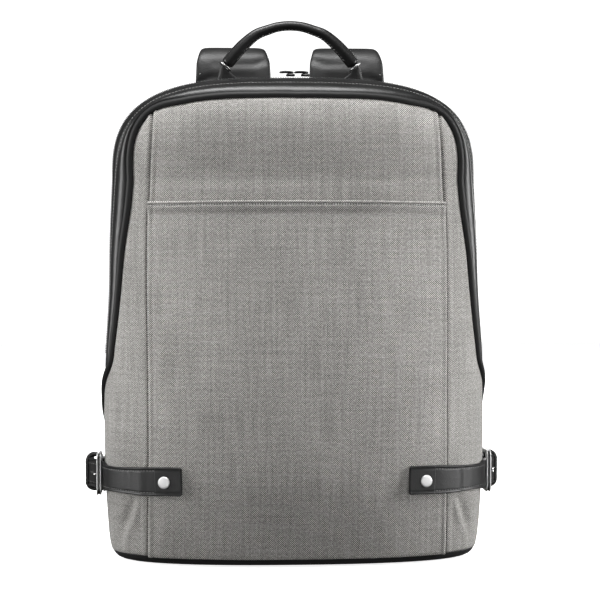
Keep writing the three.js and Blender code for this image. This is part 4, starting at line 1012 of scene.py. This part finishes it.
def rounded_loop(near, far, half_high, corner_near, corner_far, count):
    pieces = []
    for cx, cz, r, start in (
            (near + corner_near, half_high - corner_near, corner_near, 180), (far - corner_far, half_high - corner_far, corner_far, 90),
            (far - corner_far, -half_high + corner_far, corner_far, 0), (near + corner_near, -half_high + corner_near, corner_near, -90)):
        turn = np.radians(np.linspace(start, start - 90, 14))
        pieces.append(np.stack([cx + r * np.cos(turn), cz + r * np.sin(turn)], -1))
    loop = np.concatenate(pieces)
    loop = np.concatenate([loop, loop[:1]])
    line = np.stack([loop[:, 0], 0 * loop[:, 0], loop[:, 1]], -1)
    return resample(line, count, True)


def keeper(name, side):
    near = SIDE_SURFACE + 0.9 + STRAP_THICKNESS + 1.5
    far = SIDE_SURFACE + 18.7 - 2.0
    loop = rounded_loop(near, far, 15.1, 2.5, 6.0, 120)
    loop[:, 1] = 24
    loop[:, 2] += STRAP_HEIGHT - 1.8
    loop = mirror(loop, side)
    frames = frames_along(loop, (0, 1, 0), True)
    sections = strip_section(np.full(120, 10.0), np.full(120, 4.0), 14, 6)
    share = sections[..., 0] / 5
    sections[..., 1] -= np.sign(sections[..., 1]) * 0.35 * np.exp(-((np.abs(share) - 0.72) / 0.08) ** 2)
    points, faces = sweep(frames, sections, True)
    obj = make("keeper_leather_" + name, points, faces, materials=(STRAP_LEATHER,))
    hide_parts("keeper_" + name)


def buckle(name, side):
    loop = rounded_loop(-13.1, 13.1, 16.9, 3.6, 3.6, 140)
    ring = np.stack([np.full(len(loop), (BUCKLE_INNER + BUCKLE_OUTER) / 2), loop[:, 0], loop[:, 2] + STRAP_HEIGHT], -1)
    ring = mirror(ring, side)
    frames = frames_along(ring, (1, 0, 0), True)
    profile = np.array([(-2.0, -1.3), (-1.7, -1.75), (-1.25, -1.85), (-0.95, -1.5), (-0.9, -0.9), (0.9, -0.9), (0.95, -1.5),
                        (1.25, -1.85), (1.7, -1.75), (2.0, -1.3), (2.0, 1.3), (1.7, 1.75), (1.25, 1.85), (0.95, 1.5),
                        (0.9, 0.9), (-0.9, 0.9), (-0.95, 1.5), (-1.25, 1.85), (-1.7, 1.75), (-2.0, 1.3)])
    points, faces = sweep(frames, profile, True)
    sides = len(profile)
    # The faces in the frame's groove get the dark metal: painted shade in the groove, not a finish of the real buckle.
    dark = {3, 4, 5, 13, 14, 15}
    slots = [1 if (index % sides) in dark else 0 for index in range(len(faces))]
    obj = make("buckle_frame_" + name, points, faces, materials=(BUCKLE_METAL, DARK_METAL), face_slots=slots)
    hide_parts("buckle_" + name)
    stand = BUCKLE_OUTER + 0.3 + 1.2
    reach = 15 - 1.2
    lifted = SIDE_SURFACE + 12.3 + STRAP_THICKNESS
    path = smooth_path([(stand, -reach, STRAP_HEIGHT), (stand + 0.4, -reach * 0.5, STRAP_HEIGHT), (stand + 1.7, 0, STRAP_HEIGHT),
                        (mix(stand + 1.7, lifted + 1, 0.45), reach * 0.35, STRAP_HEIGHT)], 40)
    path = mirror(path, side)
    gone = strip_gone(path)
    ends = np.sqrt(np.clip(np.minimum(gone, gone[-1] - gone) / 1.3, 0.03, 1))
    points, faces = sweep(frames_along(path, (0, 0, 1)), circle(1.2, 14)[None] * ends[:, None, None])
    obj = make("prong_bar_" + name, points, faces, materials=(SILVER,))
    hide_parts("prong_" + name)


def lathe(profile, axis, origin, around=40):
    axis = unit(axis)
    first = unit(np.cross(axis, (0, 0, 1) if abs(axis[2]) < 0.9 else (1, 0, 0)))
    second = np.cross(axis, first)
    turn = 2 * math.pi * np.arange(around) / around
    points = [np.asarray(origin) + axis * h + (first * math.cos(a) + second * math.sin(a)) * r
              for r, h in profile for a in turn]
    faces = grid_faces(len(profile), around, wrap=True).tolist()
    base = len(points)
    points.append(np.asarray(origin) + axis * profile[0][1])
    points.append(np.asarray(origin) + axis * profile[-1][1])
    last = (len(profile) - 1) * around
    for side in range(around):
        turned = (side + 1) % around
        faces.append([base, turned, side])
        faces.append([base + 1, last + side, last + turned])
    return np.array(points), faces


def snaps():
    for name, side in SIDES:
        x = TAB_END[side] + 14
        at = front_point(x, STRAP_HEIGHT)
        normal = outward(x, STRAP_HEIGHT)
        at = at + normal * (cloth_stand(x) + STRAP_STAND + STRAP_THICKNESS + 0.2)
        profile = [(4.9, 0.0), (5.25, 0.4), (5.2, 1.2), (4.9, 1.75), (4.4, 2.0), (3.4, 2.12), (2.0, 2.2), (0.4, 2.25)]
        points, faces = lathe(profile, mirror(normal, side), mirror(at, side), 48)
        obj = make("snap_cap_" + name, points, faces, materials=(SNAP_METAL,))
        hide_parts("snap_" + name)


side_straps()
snaps()


# Base
def base_tray():
    around = 220
    turn = 2 * math.pi * np.arange(around) / around
    levels = ((0, 11.0), (0.0, 9.2), (0.4, 6.4), (1.3, 3.6), (2.6, 1.6), (4.0, 0.8), (5.4, 0.5), (5.9, 0.8), (6.4, 0.5),
              (7.6, 0.4), (8.0, 0.9), (8.0, 2.2), (7.5, 3.0), (3.0, 10.5), (2.4, 12.5))
    rings = []
    for z, inset in levels:
        front = np.sin(turn) < 0
        power = np.where(front, FRONT_POWER, BACK_POWER)
        depth = np.where(front, front_depth(z), back_depth(z)) - inset
        wide = np.sign(np.cos(turn)) * np.abs(np.cos(turn)) ** (2 / power)
        deep = np.sign(np.sin(turn)) * np.abs(np.sin(turn)) ** (2 / power)
        rings.append(stack(wide * (half_width(z) - inset), deep * depth, z + 0 * turn))
    points = np.concatenate(rings + [np.array([[0, 0, 0.0], [0, 0, 2.4]])])
    faces = grid_faces(len(levels), around, wrap=True).tolist()
    last = (len(levels) - 1) * around
    for index in range(around):
        turned = (index + 1) % around
        faces.append([len(points) - 2, turned, index])
        faces.append([len(points) - 1, last + index, last + turned])
    obj = make("base_tray", points, faces, materials=(BASE_LEATHER,))
    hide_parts("base")


base_tray()


# Padded back
def back_pad():
    around, rings = 300, 90
    lowest, centre, edge = CLOTH_BOTTOM, BODY_HEIGHT / 2, BACK_EDGE + SEAM_GAP
    angle = 2 * math.pi * np.arange(around) / around - math.pi / 2
    near = np.zeros(around)
    far = np.full(around, BODY_HEIGHT)
    for _ in range(36):
        middle = (near + far) / 2
        z = centre + middle * np.sin(angle)
        inside = is_inside(middle * np.cos(angle), np.full(around, edge), z) & (z > lowest)
        near = np.where(inside, middle, near)
        far = np.where(inside, far, middle)
    share = np.power(np.linspace(0.004, 1, rings), 0.9)[:, None]
    x = near * np.cos(angle) * share
    z = centre + near * np.sin(angle) * share
    rest = (1 - share) * near[None, :]
    y = back_depth(z) * bend(np.abs(x) / np.maximum(half_width(z), 1e-6), BACK_POWER)
    channel = np.ones_like(x)
    for half, low, high in ((1, 40, 150), (1, 162, 262), (1, 274, 362)):
        from_middle = np.abs(np.abs(x) - 9)
        channel = channel
    block = np.zeros_like(x)
    for low, high in ((44, 146), (160, 262), (276, 366)):
        across = ease(10, 20, np.abs(x)) * ease(118, 106, np.abs(x))
        tall = ease(low, low + 9, z) * ease(high, high - 9, z)
        block = np.maximum(block, across * tall)
    lift = -3.2 + 4.6 * block - 2.0 * np.exp(-(rest / 3.0) ** 2)
    lift = lift + 0.3 * ripple(x, z, 60, 51)
    outer = stack(x, y + lift * ease(0, 10, rest), z)
    pad = mix(9.0, 2.0, ease(0.75, 1, share)) + 0 * x
    inner = stack(x, y - pad, z)
    points = np.concatenate([outer.reshape(-1, 3), inner.reshape(-1, 3)])
    size = rings * around
    faces = grid_faces(rings, around, wrap=True).tolist() + grid_faces(rings, around, size, wrap=True, flip=True).tolist()
    last = (rings - 1) * around
    for index in range(around):
        turned = (index + 1) % around
        faces.append([last + index, last + turned, size + last + turned, size + last + index])
    ends = np.array([outer[0].mean(0), inner[0].mean(0)])
    points = np.concatenate([points, ends])
    for index in range(around):
        turned = (index + 1) % around
        faces.append([2 * size, turned, index])
        faces.append([2 * size + 1, size + index, size + turned])
    obj = make("back_padding", points, faces, materials=(AIR_MESH,))
    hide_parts("back_panel")


back_pad()


# Handle
HANDLE_DEPTH = 22.0
HANDLE_LEAN = -2.0
HANDLE_END_Z = BODY_HEIGHT + 13
HANDLE_TOP_Z = HANDLE_END_Z + 35
HANDLE_ROWS = ((0.2, 0.968), (0.35, 0.893), (0.52, 0.785), (0.7, 0.555), (0.86, 0.28), (1, 0))
HANDLE_LINE = smooth_path(
    [(-57 * a + HANDLE_LEAN, HANDLE_DEPTH, mix(HANDLE_END_Z, HANDLE_TOP_Z, b)) for a, b in HANDLE_ROWS[::-1]]
    + [(HANDLE_LEAN, HANDLE_DEPTH, HANDLE_TOP_Z)]
    + [(57 * a + HANDLE_LEAN, HANDLE_DEPTH, mix(HANDLE_END_Z, HANDLE_TOP_Z, b)) for a, b in HANDLE_ROWS], 160)


def top_height(x, y):
    near = np.full(np.shape(x), BAND_CENTRE)
    far = np.full(np.shape(x), BODY_HEIGHT)
    for _ in range(40):
        middle = (near + far) / 2
        inside = is_inside(np.asarray(x, float), np.asarray(y, float), middle)
        near = np.where(inside, middle, near)
        far = np.where(inside, far, middle)
    return near


def handle():
    line = HANDLE_LINE
    frames = frames_along(line, (0, 1, 0))
    t = np.linspace(0, 1, len(line))
    from_middle = np.abs(2 * t - 1)
    radius = mix(4.3, 5.6, ease(0.1, 0.85, from_middle))
    gone = strip_gone(line)
    ends = np.sqrt(np.clip(np.minimum(gone, gone[-1] - gone) / 2.0, 0.25, 1))
    turn = 2 * math.pi * np.arange(40) / 40
    seam = 0.5 * np.exp(-((turn - 1.75 * math.pi) / 0.16) ** 2)
    profile = radius[:, None] * ends[:, None] - seam[None, :]
    profile = profile * (1 + 0.004 * np.sin(gone / 9)[:, None])
    sections = np.stack([profile * np.cos(turn), profile * np.sin(turn)], -1)
    deep_up = frames[2][len(line) // 2][2]
    points, faces = sweep(frames, sections)
    obj = make("handle_leather", points, faces, materials=(LEATHER,))
    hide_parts("handle_roll")
    low = -frames[2] * np.sign(deep_up)
    front = -frames[1]
    for label, mixing in (("front", 0.62),):
        way = unit(low * mixing + front * (1 - mixing))
        place = line + way * (radius[:, None] - 0.1)
        pick = (t > 0.06) & (t < 0.94)
        stitches("handle_stitches_" + label, place[pick], way[pick], 3.0, 2.3, 0.34, 0.0, PALE_THREAD, 0.5)
    for name, side in SIDES:
        end = line[0] if side < 0 else line[-1]
        away = (line[0] - line[1]) if side < 0 else (line[-1] - line[-2])
        away = unit(away)
        centre = end + away * 1.2
        turn = 2 * math.pi * np.arange(56) / 56
        second = np.cross(away, (0, 1, 0))
        ring = centre + 5.6 * (np.cos(turn)[:, None] * np.array([0, 1.0, 0]) + np.sin(turn)[:, None] * second)
        frames_ring = frames_along(ring, away, True)
        points, faces = sweep(frames_ring, circle(0.9, 12), True)
        obj = make("handle_wire_" + name, points, faces, materials=(RING_METAL,))
        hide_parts("handle_ring_" + name)
        start = end + away * 2.4
        across = np.array([-away[2], 0, away[0]])
        rows = 34
        around = 44
        neck = flat_section(9.4, 7.5, around, 2.6, 2.4)[0]
        foot = flat_section(24, 5, around, 5.5, 2.2)[0]
        body = []
        for index in range(rows):
            down = index / (rows - 1)
            top = start + across * neck[:, :1] + np.array([0, 1.0, 0]) * neck[:, 1:]
            x = side * 53.5 + HANDLE_LEAN + foot[:, 0]
            bottom = stack(x, HANDLE_DEPTH + foot[:, 1], top_height(x, np.full(around, 19.5)) + 0.6)
            flare = down ** 1.25
            ring = top + (bottom - top) * np.stack([np.full(around, flare), np.full(around, down), np.full(around, down)], -1)
            body.append(ring)
        body = np.array(body)
        faces = grid_faces(rows, around, wrap=True).tolist()
        flat = np.concatenate([body.reshape(-1, 3), body[:1].mean(1), body[-1:].mean(1)])
        last = (rows - 1) * around
        for index in range(around):
            turned = (index + 1) % around
            faces.append([rows * around, turned, index])
            faces.append([rows * around + 1, last + index, last + turned])
        obj = make("handle_flare_" + name, flat, faces, materials=(GRAIN_LEATHER,))
        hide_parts("handle_tab_" + name)


handle()


# Shoulder straps with their padding
PAD_UP = (0.82, 0.875, 0.935, 0.985, 1, 0.985, 0.93, 0.82, 0.68, 0.54, 0.44, 0.385)
PAD_OUT = (0.56, 0.56, 0.56, 0.56, 0.56, 0.57, 0.6, 0.7, 0.79, 0.89, 0.96, 1)
PAD_BACK = (0.482, 0.478, 0.49, 0.56, 0.66, 0.77, 0.88, 0.97, 1, 0.98, 0.93, 0.885)
PAD_WIDE = (1.03, 1.03, 0.98, 0.76, 0.67, 0.7, 0.78, 0.84, 0.84, 0.78, 0.66, 0.5)
PAD_THICK = (0.6, 0.6, 0.65, 0.7, 0.75, 0.85, 1, 1, 1, 1, 0.95, 0.7)


def pad_line(side, count):
    points = []
    for up, out, back, thick in zip(PAD_UP, PAD_OUT, PAD_BACK, PAD_THICK):
        z = up * 450
        x = out * 92
        resting = float(back_point(x, min(z, 404.0))[1]) + 0.9 + thick * 5
        points.append((side * x, max(back * 122, resting if z < 404 else 0), z))
    return smooth_path(points, count)


def shoulder_straps():
    for name, side in SIDES:
        count = 150
        line = pad_line(side, count)
        t = np.linspace(0, 1, count + 1)
        rows = np.linspace(0, 1, 12)
        width = np.interp(t, rows, PAD_WIDE) * 68
        thick = np.interp(t, rows, PAD_THICK) * 10
        frames = frames_along(line, (1, 0, 0))
        around = 56
        sections = flat_section(width, thick, around, 9.0, 2.6)
        share = np.abs(sections[..., 0]) / (width[:, None] / 2)
        pinch = 1 - 0.5 * np.exp(-((share - 0.84) / 0.06) ** 2) * ease(0.36, 0.46, t)[:, None]
        sections[..., 1] *= pinch
        height = line[:, 2][:, None]
        crease = np.exp(-((height - 430 + 11 * sections[..., 0] / 34 * side) / 3.0) ** 2)
        sections[..., 1] -= 1.6 * np.sign(sections[..., 1]) * crease * ease(0.5, 0.3, t)[:, None]
        points, faces = sweep(frames, sections)
        index = np.arange(len(faces))
        slots = [1 if (i % around) < around / 2 and i < count * around else 0 for i in index]
        obj = make("shoulder_pad_" + name, points, faces, materials=(STRAP_LEATHER, AIR_MESH), face_slots=slots)
        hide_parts("shoulder_strap_" + name)
        middle, wide, deep = frames
        for label, edge in (("outer", 0.82), ("inner", -0.82)):
            place = middle + wide * (width * edge / 2)[:, None] - deep * (thick * 0.24)[:, None]
            far = t > 0.46
            stitches("shoulder_stitches_" + label + "_" + name, place[far][:-4], -deep[far][:-4], 3.2, 2.3, 0.36, 0.0, GREY_THREAD)
        top = int(np.argmax(line[:, 2]))
        rise = np.linspace(0, 1, 16)
        height = mix(427.0, 438.0, rise)
        across = np.interp(height, line[:top, 2], width[:top]) / 2 * mix(0.93, 0.3, rise)
        depth = np.interp(height, line[:top, 2], line[:top, 1]) - np.interp(height, line[:top, 2], thick[:top]) * 0.5
        seam = stack(line[top, 0] + side * across, depth + 0.6, height)
        stitches("shoulder_seam_" + name, seam, (0, -0.93, 0.37), 3.0, 2.0, 0.4, 0.0, PALE_THREAD)
        lower_strap(name, side, line)


def plate(half_long, half_wide, bar, thickness, corner, basis, origin):
    """Rounded frame with softened edges."""
    loop = rounded_loop(-half_long + bar / 2, half_long - bar / 2, half_wide - bar / 2, corner, corner, 96)
    wide, long, up = basis
    ring = np.asarray(origin) + loop[:, :1] * wide + loop[:, 2:] * long
    frames = frames_along(ring, up, True)
    sections = flat_section(thickness, bar, 20, 3.4, 3.4)[0]
    return sweep(frames, sections, True)


def lower_strap(name, side, line):
    foot = line[-1]
    along = unit(line[-1] - line[-3])
    wide = unit(np.array([1.0, 0, 0]) - along * along[0])
    up = np.cross(wide, along)
    centre = foot + along * 12.3
    points, faces = plate(18, 12, 4.5, 4, 3.2, (wide, along, up), centre)
    bar_line = np.stack([centre - wide * 15.5, centre + wide * 15.5])
    bar_points, bar_faces = sweep(frames_along(resample(bar_line, 6), along), flat_section(4.0, 3.2, 16, 3.0, 3.0)[0])
    faces = faces + [[i + len(points) for i in face] for face in bar_faces]
    points = np.concatenate([points, bar_points])
    obj = make("strap_slider_" + name, points, faces, materials=(PLASTIC,))
    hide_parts("strap_adjuster_" + name)
    anchor = back_point(side * 118.0, 42.0)
    start = foot + along * 24.6
    end = anchor + np.array([-side * 5, 0, 16.5])
    end[1] = float(back_point(abs(end[0]) - 15, end[2])[1]) + 0.6 + 0.9
    path = smooth_path([start, start + along * 24, mix(start, end, 0.6) + np.array([0, 7, 0]),
                        end + np.array([-side * 1.5, 1, 17]), end], 90)
    sections = strip_section(np.full(91, 25.0), np.full(91, 1.8), 22, 4)
    share = sections[..., 0] / 12.5
    sections[..., 1] += 0.12 * np.sign(sections[..., 1]) * np.cos(share * math.pi * 5)
    points, faces = sweep(frames_along(path, (1, 0, 0)), sections)
    obj = make("strap_web_" + name, points, faces, materials=(WEBBING,))
    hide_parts("strap_webbing_" + name)
    rows = np.linspace(0, 1, 40)
    z = mix(27.0, 57.0, rows)
    lean = side * (118.0 - 5 * rows)
    depth = back_point(np.abs(lean) - 15, z)[:, 1] + 0.6 + 1.5
    middle = stack(lean, depth, z)
    width = mix(35, 27, rows) - 2 * rounded_ends(z - 27.0, 3.0, 2.0)
    points, faces = sweep(frames_along(middle, (1, 0, 0)), strip_section(width, np.full(40, 3.0), 18, 5))
    obj = make("strap_anchor_leather_" + name, points, faces, materials=(STRAP_LEATHER,))
    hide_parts("strap_anchor_" + name)
    for label, share in (("outer", 1), ("inner", -1)):
        edge = middle + np.stack([share * (width / 2 - 3), 0 * width + 1.5, 0 * width], -1)
        stitches("anchor_stitches_" + label + "_" + name, edge[3:-3], (0, 1, 0), 3.0, 2.2, 0.34, 0.0, GREY_THREAD)


shoulder_straps()


# Zip sliders and their wire pullers on the top
def sliders():
    middle = ZIP_FRONT + ZIP_WIDTH / 2
    for name, place in (("left", -3.0), ("right", 10.0)):
        z = float(top_height(place, middle)) - 0.9 + 0.3 + 1.8 + 0.3 + 0.3
        rows = []
        levels = ((0.0, 0.5), (0.3, 0.12), (0.8, 0.0), (1.6, 0.1), (2.1, 0.45), (2.4, 1.0), (2.6, 1.8))
        turn = 2 * math.pi * np.arange(48) / 48
        for height, inset in levels:
            wide = np.sign(np.cos(turn)) * np.abs(np.cos(turn)) ** 0.55
            deep = np.sign(np.sin(turn)) * np.abs(np.sin(turn)) ** 0.55
            waist = 1 - 0.12 * np.exp(-(wide / 0.35) ** 2)
            rows.append(stack(place + (4 - inset) * wide, middle + (4 - inset) * deep * waist, z + height + 0 * turn))
        points = np.concatenate(rows + [rows[0].mean(0)[None], rows[-1].mean(0)[None]])
        faces = grid_faces(len(levels), 48, wrap=True).tolist()
        last = (len(levels) - 1) * 48
        for index in range(48):
            turned = (index + 1) % 48
            faces.append([len(points) - 2, turned, index])
            faces.append([len(points) - 1, last + index, last + turned])
        obj = make("zip_runner_" + name, points, faces, materials=(DARK_METAL,))
        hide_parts("zip_slider_" + name)
        height = float(top_height(place, middle)) - 0.9 + 0.3 + 1.8 + 0.6 + 0.3 + 2.6 + 0.7
        far = place - 9
        half = 3.6
        path = smooth_path([(place + 2, middle, height), (place, middle - half * 0.7, height + 0.1),
                            ((place + far) / 2, middle - half, height + 0.4), (far + 1.5, middle - half * 0.7, height + 0.2),
                            (far, middle, height), (far + 1.5, middle + half * 0.7, height + 0.2),
                            ((place + far) / 2, middle + half, height + 0.4), (place, middle + half * 0.7, height + 0.1)], 72, True)
        points, faces = sweep(frames_along(path, (0, 0, 1), True), circle(0.9, 10), True)
        obj = make("zip_wire_" + name, points, faces, materials=(DARK_METAL,))
        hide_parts("zip_puller_" + name)


sliders()


# Floor, light and camera
def studio():
    floor = bpy.data.meshes.new("floor")
    floor.from_pydata([(-6, -6, 0), (6, -6, 0), (6, 8, 0), (-6, 8, 0)], [], [(0, 1, 2, 3)])
    shader = Shader("pale_floor")
    floor.materials.append(shader.finish((0.85, 0.85, 0.85, 1), 0.9, Emission_Color=(1, 1, 1, 1), Emission_Strength=0.82))
    plane = bpy.data.objects.new("floor", floor)
    bpy.context.scene.collection.objects.link(plane)
    plane.visible_diffuse = False
    plane.visible_glossy = False
    wall = bpy.data.meshes.new("backdrop")
    wall.from_pydata([(-6, 3, -1), (6, 3, -1), (6, 3, 5), (-6, 3, 5)], [], [(0, 1, 2, 3)])
    shader = Shader("pale_backdrop")
    wall.materials.append(shader.finish((0, 0, 0, 1), 0.9, Emission_Color=(1, 1, 1, 1), Emission_Strength=1.3))
    sheet = bpy.data.objects.new("backdrop", wall)
    bpy.context.scene.collection.objects.link(sheet)
    sheet.visible_glossy = False
    sheet.visible_diffuse = False
    world = bpy.data.worlds.new("studio")
    world.use_nodes = True
    world.node_tree.nodes["Background"].inputs[0].default_value = (1, 1, 1, 1)
    world.node_tree.nodes["Background"].inputs[1].default_value = 0.09
    bpy.context.scene.world = world
    lamps = (
        ("key", (-0.1, -0.3, 1.7), (0, -0.04, 0.36), 1.2, 0.4, 44),
        ("upper", (0, -0.55, 0.8), (0, -0.05, 0.39), 0.8, 0.1, 1.0),
        ("low", (0, -0.42, 0.015), (0, 0, 0.03), 1.2, 0.06, 1.5),
        ("left_box", (-1.5, -0.16, 0.5), (0, 0, 0.25), 0.4, 1.2, 27),
        ("right_box", (1.5, -0.16, 0.5), (0, 0, 0.25), 0.4, 1.2, 36),
        ("rear", (0.5, 2.0, 0.45), (0, 0, 0.2), 1.6, 0.8, 26),
    )
    for name, place, target, wide, tall, power in lamps:
        light = bpy.data.lights.new(name, "AREA")
        light.shape = "RECTANGLE"
        light.size = wide
        light.size_y = tall
        light.energy = power
        lamp = bpy.data.objects.new(name, light)
        lamp.location = place
        lamp.rotation_euler = (Vector(target) - Vector(place)).to_track_quat("-Z", "Y").to_euler()
        bpy.context.scene.collection.objects.link(lamp)
        lamp.visible_camera = False
    data = bpy.data.cameras.new("camera")
    data.sensor_width = 36
    data.lens = 112.5
    data.clip_start = 0.05
    camera = bpy.data.objects.new("camera", data)
    turn = math.radians(3.6)
    centre = Vector((0.0052, 0, 0.225))
    camera.location = (centre.x - 1.65 * math.sin(turn), -1.65 * math.cos(turn), 0.290)
    aim = centre - camera.location
    camera.rotation_euler = aim.to_track_quat("-Z", "Y").to_euler()
    bpy.context.scene.collection.objects.link(camera)
    bpy.context.scene.camera = camera
    bpy.context.scene.view_settings.view_transform = "Standard"
    bpy.context.scene.view_settings.look = "None"


studio()
